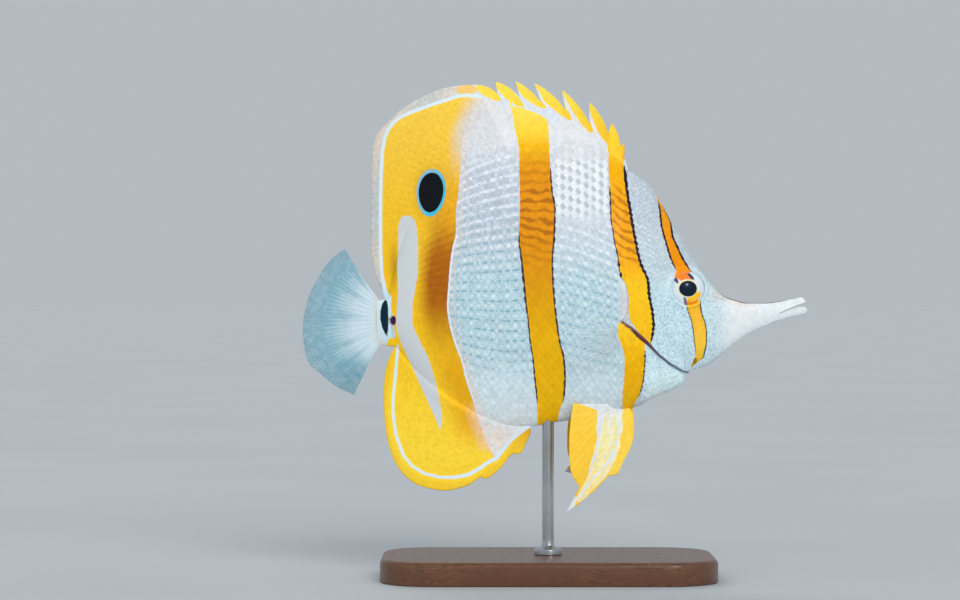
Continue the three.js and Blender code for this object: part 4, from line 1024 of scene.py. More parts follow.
def pelvic_marks(x, z):
    """Colours of the pelvic fins."""
    px, py = x / 0.3 + 548, 578 - z / 0.3
    shape = np.shape(x)
    front = Smooth(grid([(622, 400), (621.7, 423), (620.5, 434), (618, 445.5), (615, 457), (610.5, 467), (605, 474.5), (597, 483), (588, 490)])[:, ::-1])
    back = Smooth(grid([(597.4, 400), (596.2, 420), (596, 436), (593, 452), (589.5, 462), (587.5, 472), (582, 484), (577, 492)])[:, ::-1])
    # pale rays run down the middle of the fin
    lean = (x - back(z)) / np.maximum(0.8, front(z) - back(z))
    comb = 0.5 + 0.5 * np.sin(lean * 15.0 + 0.8 * np.sin(py * 0.11))
    gold = np.maximum(x - front(z), back(z) - x) + 0.25 * np.sin(py * 0.32) * (py < 450)
    gold = np.where(px < 610, np.minimum(gold, 0.3 * (py - 400.5 - 0.36 * (px - 572))), gold)
    da, _ = near_line(WHITE_A, x, z)
    db, _ = near_line(WHITE_B, x, z)
    pale = np.maximum(0.34 + 0.75 * (1 - step(405, 445, py)) + 0.14 * np.sin(py * 0.5) - da, 0.3 + 0.45 * bell(py, 457, 5) + 0.12 * np.sin(py * 0.6) - db)
    pale = np.maximum(pale, np.clip(0.3 * (574 - px), -5, 0.5) * (py > 486) - 5 * (py <= 486))
    g = ramp([(400, (249, 205, 70)), (440, (247, 198, 56)), (485, (244, 196, 60))], py)
    fr = x > front(z)
    g = np.where(fr[..., None], ramp([(400, (248, 204, 66)), (440, (247, 206, 72)), (485, (246, 206, 80))], py), g)
    out = ramp([(400, (206, 214, 220)), (411, (216, 214, 206)), (420, (234, 222, 160)), (440, (242, 224, 128)), (480, (242, 214, 108))], py)
    white = ramp([(400, (216, 220, 226)), (440, (228, 226, 208)), (480, (230, 222, 196))], py)
    k = (comb**3)[..., None] * 0.7 * (1 - 0.5 * step(430, 470, py))[..., None]
    out = out * (1 - k) + white * k
    n = shape + (3,)
    return {
        "marks": np.stack([gold, np.full(shape, -9.0), pale], -1),
        "style": np.zeros(n), "c_out": out, "c_gold": g,
        "c_pale": np.broadcast_to(lin(216, 220, 222), n), "c_dark": np.broadcast_to(lin(60, 40, 40), n),
        "blotch": np.zeros(shape), "width": np.full(shape, -0.4), "shine": np.zeros(shape), "phase": np.full(shape, -1e3),
    }


FLAGS = [grid(p) for p in (
    [(474, 81), (481, 80), (489, 82), (496, 90), (502, 101), (496.5, 101.5), (488, 97.8), (480.5, 94), (476.5, 88)],
    [(491, 78), (498, 79), (508, 86), (519, 97), (525, 107), (517, 106), (505.3, 98.6), (497.5, 90), (493.5, 84)],
    [(512, 77), (520, 78), (527, 85), (539, 97.5), (548, 109), (540, 108), (531, 103), (523, 97.3), (518, 90), (514.5, 84)],
    [(532, 80), (543, 81.5), (553, 91.5), (563, 104), (570, 113.5), (572.5, 121), (569, 120.5), (560, 115), (551, 107.5), (544, 101.5), (539, 92), (535, 86)],
    [(559, 86), (569, 88), (578, 98), (587, 113), (594, 132), (590.2, 133.5), (581.5, 125), (576, 117), (571.5, 110), (565, 98.3), (562, 93)],
    [(586.5, 99.5), (595.5, 101), (600, 110), (607, 125), (611, 137), (607, 144), (602, 138.5), (597.3, 131.5), (594, 123), (590.8, 115), (589, 108)],
    [(606, 120), (612, 118), (618, 126), (620, 137), (623, 151), (616, 158), (608, 154), (606.5, 137), (608.5, 127)],
    [(618, 140), (623, 138), (628, 145), (629, 158), (622, 162), (618, 155)],
)]


def flag_marks(m, x, z):
    """The spiny dorsal: a narrow yellow flag behind each spine over soft pale blue skin."""
    py = 578 - z / 0.3
    over = z - top(x)
    d = np.maximum.reduce([inside(f, x, z) for f in FLAGS])
    g = ramp([(80, (255, 224, 84)), (105, (255, 214, 66)), (130, (250, 196, 40)), (150, (248, 184, 24)), (165, (244, 170, 8))], py)
    m["marks"][..., 0] = np.where(over > 0.2, m["marks"][..., 0] * 2.2 - 0.35, m["marks"][..., 0])
    keep = (over > 0.2) & (d > m["marks"][..., 0])
    m["marks"][..., 0] = np.where(keep, d, m["marks"][..., 0])
    m["c_gold"] = np.where((keep & (d > -0.6))[..., None], g, m["c_gold"])
    fin = over > 0.2
    m["marks"][..., 1] = np.where(fin, -9, m["marks"][..., 1])
    m["marks"][..., 2] = np.where(fin, -9, m["marks"][..., 2])
    m["width"] = np.where(fin, -0.4, m["width"])
    m["style"] = np.where(fin[..., None], 0, m["style"])
    m["shine"] = np.where(fin, 0, m["shine"])
    return m


def attributes_of(ref, kind, loc):
    out = {}
    groups = []
    for k in np.unique(kind):
        sel = kind == k
        x, z = ref[sel, 0], ref[sel, 1]
        if k == 1:
            m = pelvic_marks(x, z)
        else:
            m = marks(x, z)
            if k == 2:
                m = flag_marks(m, x, z)
        groups.append((sel, m))
    n = len(ref)
    for key in ("marks", "style", "c_out", "c_gold", "c_pale", "c_dark"):
        a = np.zeros((n, 3))
        for sel, m in groups:
            a[sel] = m[key]
        out[key] = a
    extra = np.zeros((n, 3))
    width = np.zeros(n)
    more = np.zeros((n, 3))
    for sel, m in groups:
        extra[sel, 0] = m["blotch"]
        width[sel] = m["width"]
        more[sel, 0] = np.where(m["phase"] > -999, m["phase"], loc[sel, 2])
        more[sel, 1] = m["shine"]
    out["more"] = more
    extra[:, 1] = loc[:, 2]
    extra[:, 2] = loc[:, 3]
    out["extra"] = extra
    out["loc"] = np.stack([loc[:, 0], loc[:, 1], width], -1)
    return out


# ---------------------------------------------------------------- scales


def skin_point(x, s, side, lift):
    """A point lifted off the skin; s is the share of the section's length from back to belly."""
    a = angle_at(x, s)
    P = section(x, a, side)
    P[..., 1] += side * relief(P[..., 0], P[..., 2])
    e = 0.25
    dx = section(x + e, angle_at(x + e, s), side) - section(x - e, angle_at(x - e, s), side)
    s2, s1 = np.minimum(1, s + 0.006), np.maximum(0, s - 0.006)
    ds = section(x, angle_at(x, s2), side) - section(x, angle_at(x, s1), side)
    n = np.cross(dx, ds)
    n /= np.maximum(1e-9, np.linalg.norm(n, axis=-1, keepdims=True))
    n *= np.where((n[..., 1:2] * side) < 0, -1, 1)
    return P + n * lift[..., None]


def plate_net(nu, nw):
    """Vertex grid of one plate, u from root to rear edge and w across, with its faces."""
    u = np.linspace(0, 1, nu) ** 0.85
    w = np.linspace(-1, 1, nw)
    U, W = np.meshgrid(u, w, indexing="ij")
    q = quads(nu, nw)
    idx = np.arange(nu * nw).reshape(nu, nw)
    loop = np.r_[idx[0], idx[1:, -1], idx[-1, -2::-1], idx[-2:0:-1, 0]]
    c = nu * nw  # one vertex under the plate closes it
    tri = np.array([(loop[(k + 1) % len(loop)], loop[k], c) for k in range(len(loop))])
    return U.ravel(), W.ravel(), q, tri


def plate_shape(U, W):
    """Half width, as a share, and how far the rounded rear edge falls short at the sides."""
    half = np.interp(U, [0, 0.3, 0.62, 0.85, 1.0], [0.6, 0.92, 1.0, 0.86, 0.62])
    back = U - 0.17 * W * W * U
    return half, back


def add_plates(piece, x0, s0, side, length, halfs, rear, net, rnd, rows, root=-0.09, odd=0.0, flow=0.0):
    """Plates with roots at (x0, s0): length in mm of x, half width as a share of the section."""
    U, W, q, tri = net
    half, back = plate_shape(U, W)
    n, m = len(x0), len(U)
    jit = (rnd - 0.5)
    X = x0[:, None] - back[None] * length[:, None]
    shift = flow * row_shift(X)
    S = s0[:, None] + W[None] * half[None] * halfs[:, None] + (shift - flow * row_shift(x0)[:, None]) / rows
    lift = root + (rear[:, None] * (0.9 + 0.35 * jit[:, None]) - root) * (U[None] ** 1.1) * (1 - 0.22 * W[None] ** 2)
    lift = lift + 0.12 * rear[:, None] * (1 - W[None] ** 2) * np.sin(math.pi * U[None] * 0.9)
    S = np.clip(S, 0.002, 0.998)
    V = skin_point(X, S, side, lift)
    c_x, c_s = x0 - 0.5 * length, np.clip(s0, 0.004, 0.996)
    C = skin_point(c_x, c_s, side, np.full(n, root * 1.2))
    V = np.concatenate([V, C[:, None]], 1)
    k = np.arange(n)[:, None, None] * (m + 1)
    Q, T = (q[None] + k).reshape(-1, 4), (tri[None] + k).reshape(-1, 3)
    loc = np.zeros((n, m + 1, 4))
    loc[:, :m, 0], loc[:, :m, 1] = U, W
    loc[:, m, 0] = 0.5
    loc[:, :m, 2] = S * rows - shift
    loc[:, m, 2] = c_s * rows - flow * row_shift(x0)
    loc[:, :, 3] = (rnd + 2 * odd)[:, None]
    u0 = (77.8 - x0) / 129.4 * 0.98 + 0.01
    uv = np.zeros((n, m + 1, 2))
    uv[..., 0], uv[..., 1] = u0[:, None], (0.01 + 0.98 * (1 - c_s))[:, None]
    uv[:, :m, 0] += (U - 0.5)[None] * 0.003
    uv[:, :m, 1] += W[None] * 0.0015
    v = V.reshape(-1, 3)
    Q, T = outward(v, Q, T)
    piece.add(v, Q, T, loc=loc, uv=uv)


NAPE = np.vstack([[[31.5, 122], [27.0, 120], [24.0, 113.4], [22.4, 103.0], [22.6, 94.0]], GILL_EDGE])


def head_side(x, z):
    """Signed distance from the line where the head ends, plus on the head."""
    d, s = near_line(NAPE, x, z)
    return np.where(s > 0, d, -d)


BODY_ROWS, HEAD_ROWS = 29, 46


def row_shift(x):
    """How many rows the coat's rows have sloped down by at x; they fall towards the head between two bars."""
    return 2.1 * step(528, 640, 548 + np.asarray(x, float) / 0.3)


def station_list(start, end, share, rows):
    out, x = [], start
    while x > end:
        out.append(x)
        x -= share * float(arc_at(x)) / rows
    return np.array(out)


def body_scales(side):
    xs = station_list(43.5, -50.5, 0.38, BODY_ROWS)
    X, S, O = [], [], []
    for k, x in enumerate(xs):
        r = np.arange(-3, BODY_ROWS + 1) + (0.5 if k % 2 == 0 else 0.0) + float(row_shift(x))
        r = r[(r > 0.4) & (r < BODY_ROWS - 0.4)]
        X.append(np.full(len(r), x))
        S.append(r / BODY_ROWS)
        O.append(np.full(len(r), float(k % 2)))
    X, S, O = np.concatenate(X), np.concatenate(S), np.concatenate(O)
    P = section(X, angle_at(X, S), side)
    keep = np.where(X > 17, head_side(P[:, 0], P[:, 2]) < -0.35, True)
    # on the nape the two lattices meet, so the body's row starts at the line
    pitch = arc_at(X) / BODY_ROWS
    lo = (P[:, 2] - belly(X) > 0.5) & (top(X) - P[:, 2] > 0.3)
    keep &= lo
    X, S, O, pitch = X[keep], S[keep], O[keep], pitch[keep]
    # a plate's length in x allows for how its row slopes
    e = section(X - 0.5, angle_at(X - 0.5, S), side) - section(X, angle_at(X, S), side)
    slope = np.linalg.norm(e, axis=1) / 0.5
    length = 1.14 * pitch / np.minimum(slope, 2.2)
    rnd = RNG.random(len(X))
    length = length * (0.96 + 0.1 * rnd)
    halfs = np.full(len(X), 0.56 / BODY_ROWS)
    out = []
    for part in (X > -3, X <= -3):
        out.append(body_plates(X[part], S[part], side, length[part], halfs[part], pitch[part], rnd[part], O[part]))
    return out


def body_plates(X, S, side, length, halfs, pitch, rnd, odd):
    piece = Piece()
    add_plates(piece, X, S, side, length, halfs, 0.03 + 0.044 * pitch, plate_net(6, 7), rnd, BODY_ROWS, odd=odd, flow=1.0)
    return piece


def head_scales(side):
    xs = station_list(53.5, 20.5, 0.4, HEAD_ROWS)
    X, S = [], []
    for k, x in enumerate(xs):
        r = np.arange(HEAD_ROWS) + 0.5 if k % 2 == 0 else np.arange(1, HEAD_ROWS)
        X.append(np.full(len(r), x))
        S.append(r / HEAD_ROWS)
    X, S = np.concatenate(X), np.concatenate(S)
    P = section(X, angle_at(X, S), side)
    x, z = P[:, 0], P[:, 2]
    pitch = arc_at(X) / HEAD_ROWS
    hs = head_side(x, z)
    tip = head_side(x - 1.1 * pitch, z)
    keep = (hs > 0.2) & ((tip > 0.25) | (z > 97))
    keep &= np.hypot(x - EYE_X, z - EYE_Z) > 5.95
    keep &= np.hypot(x - 1.0 * pitch - EYE_X, z - EYE_Z) > 5.95
    for nx, nz in ((50.0, 84.9), (52.4, 83.7)):
        keep &= np.hypot(x - nx, z - nz) > 1.3
    keep &= (z - belly(x) > 0.5) & (top(x) - z > 0.5)
    rnd = RNG.random(len(X))
    keep &= x < 52.5 - 3.5 * rnd - 3.0 * step(84, 95, z) + 0 * x
    X, S, pitch, rnd = X[keep], S[keep], pitch[keep], rnd[keep]
    fade = 1 - 0.55 * step(38, 52, X)
    piece = Piece()
    add_plates(piece, X, S, side, 1.12 * pitch * (0.95 + 0.12 * rnd), np.full(len(X), 0.55 / HEAD_ROWS), (0.02 + 0.06 * pitch) * fade, plate_net(4, 5), rnd, HEAD_ROWS, root=-0.06)
    return piece


class Sheet:
    """A fin's mid surface and half thickness, looked up between its grid points."""

    def __init__(self, P, H):
        self.P, self.H = P, H

    def __call__(self, s, t, side, lift):
        ns, nt = self.H.shape
        fs, ft = np.clip(s, 0, 0.99999) * (ns - 1), np.clip(t, 0, 0.99999) * (nt - 1)
        i, j = fs.astype(int), ft.astype(int)
        a, b = fs - i, ft - j
        out = 0
        for di, wi in ((0, 1 - a), (1, a)):
            for dj, wj in ((0, 1 - b), (1, b)):
                w = (wi * wj)[..., None]
                p = self.P[i + di, j + dj].copy()
                p[..., 1] += side * (self.H[i + di, j + dj])
                out = out + w * p
        out[..., 1] += side * lift
        return out


def fin_scales(P, H, side, columns, limit, pitch_v=0.6):
    sheet = Sheet(P, H)
    ns, nt = H.shape
    seg = np.linalg.norm(np.diff(P, axis=1), axis=2)
    U, W, q, tri = plate_net(4, 3)
    half, back = plate_shape(U, W)
    X0, T0, dT, wid = [], [], [], []
    for k in range(2 * columns):
        s = (k + 0.5) / (2 * columns)
        i = int(s * (ns - 1))
        L = np.r_[0, np.cumsum(seg[i])]
        count = int(L[-1] / (2 * pitch_v))
        at = (np.arange(count) + (0.5 if k % 2 else 0.0)) * 2 * pitch_v + 0.9
        at = at[at < L[-1] - 1.2]
        t = np.interp(at, L, np.linspace(0, 1, nt))
        t2 = np.interp(at + 1.75 * pitch_v, L, np.linspace(0, 1, nt))
        X0.append(np.full(len(at), s))
        T0.append(t)
        dT.append(t2 - t)
        wid.append(np.full(len(at), 1.06 / (2 * columns)))
    s0, t0, dt, wd = map(np.concatenate, (X0, T0, dT, wid))
    p = sheet(s0, t0 + dt, side, np.zeros(len(s0)))
    d = limit(p[:, 0], p[:, 2])
    rnd = RNG.random(len(s0))
    keep = d > 0.7 + 1.6 * rnd * (rnd > 0.55)
    s0, t0, dt, wd, rnd, d = s0[keep], t0[keep], dt[keep], wd[keep], rnd[keep], d[keep]
    n, m = len(s0), len(U)
    S = s0[:, None] + W[None] * half[None] * wd[:, None]
    T = t0[:, None] + back[None] * dt[:, None]
    rear = 0.075 + 0.03 * (rnd - 0.5)
    lift = -0.05 + (rear[:, None] + 0.05) * U[None] * (1 - 0.25 * W[None] ** 2)
    V = sheet(S, T, side, lift)
    C = sheet(s0, t0 + 0.5 * dt, side, np.full(n, -0.05))
    V = np.concatenate([V, C[:, None]], 1)
    k = np.arange(n)[:, None, None] * (m + 1)
    Q, TT = (q[None] + k).reshape(-1, 4), (tri[None] + k).reshape(-1, 3)
    loc = np.zeros((n, m + 1, 4))
    loc[:, :m, 0], loc[:, :m, 1] = U, W
    loc[:, m, 0] = 0.5
    loc[..., 2] = 0.5
    loc[:, :, 3] = rnd[:, None]
    uv = np.zeros((n, m + 1, 2))
    uv[..., 0], uv[..., 1] = (0.01 + 0.98 * s0)[:, None], (0.01 + 0.98 * t0)[:, None]
    uv[:, :m, 1] += (U - 0.5)[None] * 0.003
    uv[:, :m, 0] += W[None] * 0.0015
    v = V.reshape(-1, 3)
    Q, TT = outward(v, Q, TT)
    return v, Q, TT, loc, uv


# ---------------------------------------------------------------- materials


class Tree:
    """A small hand for writing shader nodes."""

    def __init__(self, name):
        self.mat = bpy.data.materials.new(name)
        self.mat.use_nodes = True
        self.t = self.mat.node_tree
        self.t.nodes.clear()
        self.out = self.t.nodes.new("ShaderNodeOutputMaterial")

    def node(self, kind, **props):
        n = self.t.nodes.new(kind)
        for k, v in props.items():
            setattr(n, k, v)
        return n

    def put(self, socket, value):
        if isinstance(value, bpy.types.NodeSocket):
            self.t.links.new(value, socket)
        elif isinstance(value, (tuple, list, np.ndarray)):
            v = [float(a) for a in value]
            socket.default_value = v + [1.0] if len(v) == 3 and socket.type == "RGBA" else v
        else:
            socket.default_value = value

    def math(self, op, a, b=None, c=None, clamp=False):
        n = self.node("ShaderNodeMath", operation=op, use_clamp=clamp)
        for k, v in enumerate((a, b, c)):
            if v is not None:
                self.put(n.inputs[k], v)
        return n.outputs[0]

    def smooth(self, x, lo, hi, a=0.0, b=1.0):
        n = self.node("ShaderNodeMapRange", interpolation_type="SMOOTHSTEP")
        for k, v in zip(("Value", "From Min", "From Max", "To Min", "To Max"), (x, lo, hi, a, b)):
            self.put(n.inputs[k], v)
        return n.outputs[0]

    def mix(self, f, a, b, blend="MIX"):
        n = self.node("ShaderNodeMix", data_type="RGBA", blend_type=blend)
        self.put(n.inputs[0], f)
        self.put(n.inputs[6], a)
        self.put(n.inputs[7], b)
        return n.outputs[2]

    def node_grey(self, value):
        n = self.node("ShaderNodeCombineColor")
        for k in range(3):
            self.put(n.inputs[k], value)
        return n.outputs[0]

    def attr(self, name):
        return self.node("ShaderNodeAttribute", attribute_name=name)

    def xyz(self, v):
        n = self.node("ShaderNodeSeparateXYZ")
        self.put(n.inputs[0], v)
        return n.outputs

    def noise(self, scale, detail=3.0, vector=None, rough=0.5):
        n = self.node("ShaderNodeTexNoise")
        if vector is None:
            vector = self.coords()
        self.put(n.inputs["Vector"], vector)
        n.inputs["Scale"].default_value = scale
        n.inputs["Detail"].default_value = detail
        n.inputs["Roughness"].default_value = rough
        return n.outputs["Fac"]

    def coords(self):
        if not hasattr(self, "_c"):
            self._c = self.node("ShaderNodeTexCoord").outputs["Object"]
        return self._c

    def stretch(self, sx, sy, sz):
        n = self.node("ShaderNodeMapping")
        self.put(n.inputs["Vector"], self.coords())
        n.inputs["Scale"].default_value = (sx, sy, sz)
        return n.outputs[0]

    def bump(self, height, strength, distance):
        n = self.node("ShaderNodeBump")
        self.put(n.inputs["Height"], height)
        n.inputs["Strength"].default_value = strength
        n.inputs["Distance"].default_value = distance
        return n.outputs[0]

    def surface(self, colour, rough, normal=None, **values):
        p = self.node("ShaderNodeBsdfPrincipled")
        self.put(p.inputs["Base Color"], colour)
        self.put(p.inputs["Roughness"], rough)
        if normal is not None:
            self.put(p.inputs["Normal"], normal)
        for k, v in values.items():
            self.put(p.inputs[k.replace("_", " ")], v)
        self.t.links.new(p.outputs[0], self.out.inputs[0])
        return p


def coat_material():
    T = Tree("fish_coat")
    marks_a, style_a = T.attr("marks"), T.attr("style")
    extra_a, loc_a, more_a = T.attr("extra"), T.attr("loc"), T.attr("more")
    g, d, p = T.xyz(marks_a.outputs["Vector"])[:3]
    net, line, stripe = T.xyz(style_a.outputs["Vector"])[:3]
    blotch, rowf, code = T.xyz(extra_a.outputs["Vector"])[:3]
    u, w, width = T.xyz(loc_a.outputs["Vector"])[:3]
    phase, shine, _ = T.xyz(more_a.outputs["Vector"])[:3]
    m = T.math
    odd = m("GREATER_THAN", code, 1.5)
    rnd = m("SUBTRACT", code, m("MULTIPLY", odd, 2.0))
    glint_and_grain_noise = T.noise(2600.0, 2.0)
    coarse = T.noise(850.0, 2.0)
    wob = m("MULTIPLY", m("SUBTRACT", coarse, 0.5), 0.34)
    breaks = T.noise(420.0, 2.0)
    aw = m("ABSOLUTE", w)
    from_row = m("ABSOLUTE", m("SUBTRACT", m("FRACT", rowf), 0.5))
    rowd = m("ADD", from_row, m("MULTIPLY", wob, 0.6))
    # the ground colour
    ground = T.attr("c_out").outputs["Color"]
    mottled = T.noise(700.0, 3.0)
    ground = T.mix(T.smooth(mottled, 0.4, 0.64, 0.0, 0.17), ground, lin(156, 176, 186))
    quiet = m("SUBTRACT", 1.0, net)
    # a white net round grey dots below the back
    rx = m("DIVIDE", m("SUBTRACT", u, 0.66), 0.3)
    ry = m("DIVIDE", w, 0.86)
    r = m("ADD", m("SQRT", m("ADD", m("MULTIPLY", rx, rx), m("MULTIPLY", ry, ry))), m("MULTIPLY", wob, 1.4))
    dotted = m("MULTIPLY", net, m("SUBTRACT", 1.0, odd))
    ground = T.mix(m("MULTIPLY", net, 0.7), ground, lin(240, 240, 241))
    ground = T.mix(m("MULTIPLY", T.smooth(r, 0.5, 1.15, 0.85, 0.0), dotted), ground, lin(176, 181, 189))
    # painted sheen: the ground is greyed under the sheen, then white streaks of painted sheen run along the rows
    ground = T.mix(m("MULTIPLY", m("MULTIPLY", shine, quiet), 0.5), ground, lin(164, 172, 186))
    painted_sheen_streaks = m("MULTIPLY", T.smooth(m("ADD", rowd, m("MULTIPLY", m("SUBTRACT", breaks, 0.5), 0.3)), 0.3, 0.1), T.smooth(m("ADD", coarse, m("MULTIPLY", u, 0.12)), 0.46, 0.6, 0.05, 1.0))
    ground = T.mix(m("MULTIPLY", m("MULTIPLY", m("MULTIPLY", painted_sheen_streaks, shine), quiet), 0.95), ground, lin(246, 248, 252))
    # teal lines between the rows and round the plates
    rows = m("MULTIPLY", T.smooth(rowd, 0.32, 0.46), T.smooth(breaks, 0.36, 0.52, 0.3, 1.0))
    ground = T.mix(m("MULTIPLY", m("MULTIPLY", rows, line), 0.85), ground, lin(92, 156, 176))
    rim = T.smooth(u, 0.8, 0.99)
    rim = m("MULTIPLY", rim, T.smooth(breaks, 0.6, 0.44, 0.25, 1.0))
    ground = T.mix(m("MULTIPLY", m("MULTIPLY", rim, line), 0.62), ground, lin(112, 170, 188))
    # painted highlight: the middle of each plate is lightened toward white
    scale_highlight = m("MULTIPLY", T.smooth(u, 0.3, 0.72), T.smooth(aw, 0.75, 0.1))
    scale_highlight = m("MULTIPLY", scale_highlight, T.smooth(coarse, 0.42, 0.6, 0.2, 1.0))
    ground = T.mix(m("MULTIPLY", m("MULTIPLY", scale_highlight, m("SUBTRACT", quiet, m("MULTIPLY", shine, 0.6))), 0.5), ground, lin(242, 247, 250))
    spots = T.smooth(T.noise(1500.0, 2.0, rough=0.6), 0.48, 0.6)
    ground = T.mix(m("MULTIPLY", m("MULTIPLY", spots, blotch), 0.68), ground, lin(126, 182, 196))
    # painted glints: fine white specks of sparkle on the ground
    ground = T.mix(T.smooth(glint_and_grain_noise, 0.57, 0.7, 0.0, 0.34), ground, lin(252, 253, 254))
    # the gold
    gold = T.attr("c_gold").outputs["Color"]
    gold = T.mix(T.smooth(mottled, 0.42, 0.66, 0.0, 0.11), gold, lin(214, 122, 0))
    band_row = m("ABSOLUTE", m("SUBTRACT", m("FRACT", phase), 0.5))
    band = T.smooth(m("ADD", m("ADD", band_row, m("MULTIPLY", wob, 0.5)), m("MULTIPLY", m("SUBTRACT", breaks, 0.5), 0.7)), 0.2, 0.46)
    gold = T.mix(m("MULTIPLY", m("MULTIPLY", band, stripe), 0.62), gold, lin(150, 70, 0))
    gold = T.mix(m("MULTIPLY", rim, 0.14), gold, lin(184, 100, 0))
    # painted glints: fine pale yellow specks of sparkle on the gold
    gold = T.mix(T.smooth(glint_and_grain_noise, 0.58, 0.7, 0.0, 0.07), gold, lin(255, 222, 90))
    ragged = m("MULTIPLY", m("SUBTRACT", m("MULTIPLY", aw, aw), 0.3), 0.16)
    edge = m("ADD", m("ADD", g, m("MULTIPLY", wob, 0.8)), ragged)
    c = T.mix(T.smooth(edge, -0.1, 0.1), ground, gold)
    shade = m("ADD", 0.94, m("MULTIPLY", rnd, 0.1))
    c = T.mix(1.0, c, T.node_grey(shade), "MULTIPLY")
    c = T.mix(T.smooth(m("ADD", p, m("MULTIPLY", wob, 0.5)), -0.1, 0.12), c, T.attr("c_pale").outputs["Color"])
    toothed = m("MULTIPLY", T.smooth(coarse, 0.3, 0.6, 0.75, 1.15), T.smooth(from_row, 0.05, 0.35, 0.72, 1.1))
    border = m("SUBTRACT", m("MULTIPLY", width, toothed), m("ABSOLUTE", edge))
    dark = m("MAXIMUM", m("ADD", d, m("MULTIPLY", wob, 0.45)), border)
    c = T.mix(T.smooth(dark, -0.1, 0.12), c, T.attr("c_dark").outputs["Color"])
    grooves = m("SINE", m("MULTIPLY", w, 26.0))
    h = m("ADD", m("MULTIPLY", grooves, 0.2), m("MULTIPLY", glint_and_grain_noise, 0.6))
    rough = T.smooth(glint_and_grain_noise, 0.35, 0.7, 0.36, 0.52)
    T.surface(c, rough, T.bump(h, 0.35, 0.00006), Specular_IOR_Level=0.15, Coat_Weight=0.02, Coat_Roughness=0.2,
              Subsurface_Weight=0.05, Subsurface_Radius=(0.0012, 0.0009, 0.0007), Subsurface_Scale=1.0)
    return T.mat


def fin_material():
    """Clear fin membrane between opaque rays: caudal and pectoral fins."""
    T = Tree("fin_membrane")
    c = T.attr("c_out").outputs["Color"]
    n = T.noise(500.0, 3.0)
    c = T.mix(T.smooth(n, 0.4, 0.65, 0.0, 0.15), c, lin(240, 248, 250))
    a = T.xyz(T.attr("marks").outputs["Vector"])[0]
    h = T.noise(3000.0, 2.0)
    p = T.surface(c, 0.4, T.bump(h, 0.2, 0.00004), Specular_IOR_Level=0.45, Coat_Weight=0.1, Coat_Roughness=0.3,
                  Subsurface_Weight=0.0)
    T.put(p.inputs["Alpha"], a)
    return T.mat


def eye_material():
    T = Tree("eye_glass")
    d = T.xyz(T.attr("marks").outputs["Vector"])
    pupil, ring, rim = d[0], d[1], d[2]
    c = T.attr("c_out").outputs["Color"]
    n = T.noise(2200.0, 3.0)
    c = T.mix(T.smooth(n, 0.4, 0.66, 0.0, 0.05), c, lin(140, 160, 172))
    c = T.mix(T.smooth(ring, -0.06, 0.06), c, T.attr("c_pale").outputs["Color"])
    c = T.mix(T.smooth(rim, -0.12, 0.12, 0.0, 0.4), c, lin(152, 170, 180))
    c = T.mix(T.smooth(pupil, -0.05, 0.05), c, T.attr("c_dark").outputs["Color"])
    T.surface(c, 0.3, None, Specular_IOR_Level=0.12, Coat_Weight=0.3, Coat_Roughness=0.06, Coat_IOR=1.4)
    return T.mat


def wood_material():
    T = Tree("walnut")
    v = T.stretch(3.0, 26.0, 26.0)
    big = T.noise(26.0, 4.0, v, 0.6)
    rings = T.math("FRACT", T.math("MULTIPLY", big, 7.0))
    rings = T.math("ABSOLUTE", T.math("SUBTRACT", rings, 0.5))
    pores = T.noise(260.0, 2.0, T.stretch(1.6, 22.0, 22.0), 0.6)
    c = T.mix(T.smooth(rings, 0.02, 0.46), lin(72, 44, 26), lin(112, 72, 44))
    c = T.mix(T.smooth(T.noise(9.0, 3.0, v), 0.3, 0.7), c, lin(92, 56, 34))
    c = T.mix(T.smooth(pores, 0.6, 0.74, 0.0, 0.6), c, lin(44, 26, 15))
    rough = T.smooth(pores, 0.4, 0.7, 0.34, 0.52)
    T.surface(c, rough, T.bump(T.math("SUBTRACT", 1.0, pores), 0.25, 0.00012), Specular_IOR_Level=0.45, Coat_Weight=0.25, Coat_Roughness=0.25)
    return T.mat


def steel_material():
    T = Tree("brushed_steel")
    line_n = T.noise(900.0, 3.0, T.stretch(1.0, 1.0, 0.05), 0.6)
    smudge = T.noise(60.0, 3.0)
    c = T.mix(T.smooth(smudge, 0.35, 0.7), lin(196, 198, 200), lin(172, 175, 178))
    rough = T.smooth(line_n, 0.3, 0.7, 0.2, 0.36)
    T.surface(c, rough, T.bump(line_n, 0.15, 0.00003), Metallic=1.0)
    return T.mat


def floor_material():
    T = Tree("pale_floor")
    n = T.noise(6.0, 4.0)
    c = T.mix(T.smooth(n, 0.3, 0.7), lin(181, 185.5, 189), lin(184, 188.5, 192))
    T.surface(c, 0.8, T.bump(T.noise(900.0, 2.0), 0.05, 0.0001), Specular_IOR_Level=0.2)
    return T.mat


# ---------------------------------------------------------------- building it all


def finish_piece(piece, name, material, nodes=(), sharp=None, uv=False, attributes=None):
    v, q, t, ref, kind, loc, uvs = piece.joined()
    a = attributes if attributes is not None else attributes_of(ref, kind, loc)
    ob = make(name, v, q, t, a, uvs if uv else None, sharp)
    ob.data.materials.append(material)
    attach(ob, "root")
    if nodes:
        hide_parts(*nodes)
    print("PIECE", name, 2 * len(q) + len(t))
    return ob


coat = coat_material()
membrane = fin_material()

skin = Piece()
body_skin(skin)
DORSAL, ANAL = soft_dorsal(), anal_fin()
skin.add(*shell(*DORSAL))
skin.add(*shell(*ANAL))
spiny = Piece()
spiny_dorsal(spiny)
sv, sq, st = spiny.joined()[:3]
skin.add(sv, sq, st, kind=2)
for side in (-1, 1):
    P, H, ref = pelvic(side)
    v, q = shell(P, H, normals_of(P))
    skin.add(v, q, ref=np.vstack([ref.reshape(-1, 2)] * 2), kind=1)


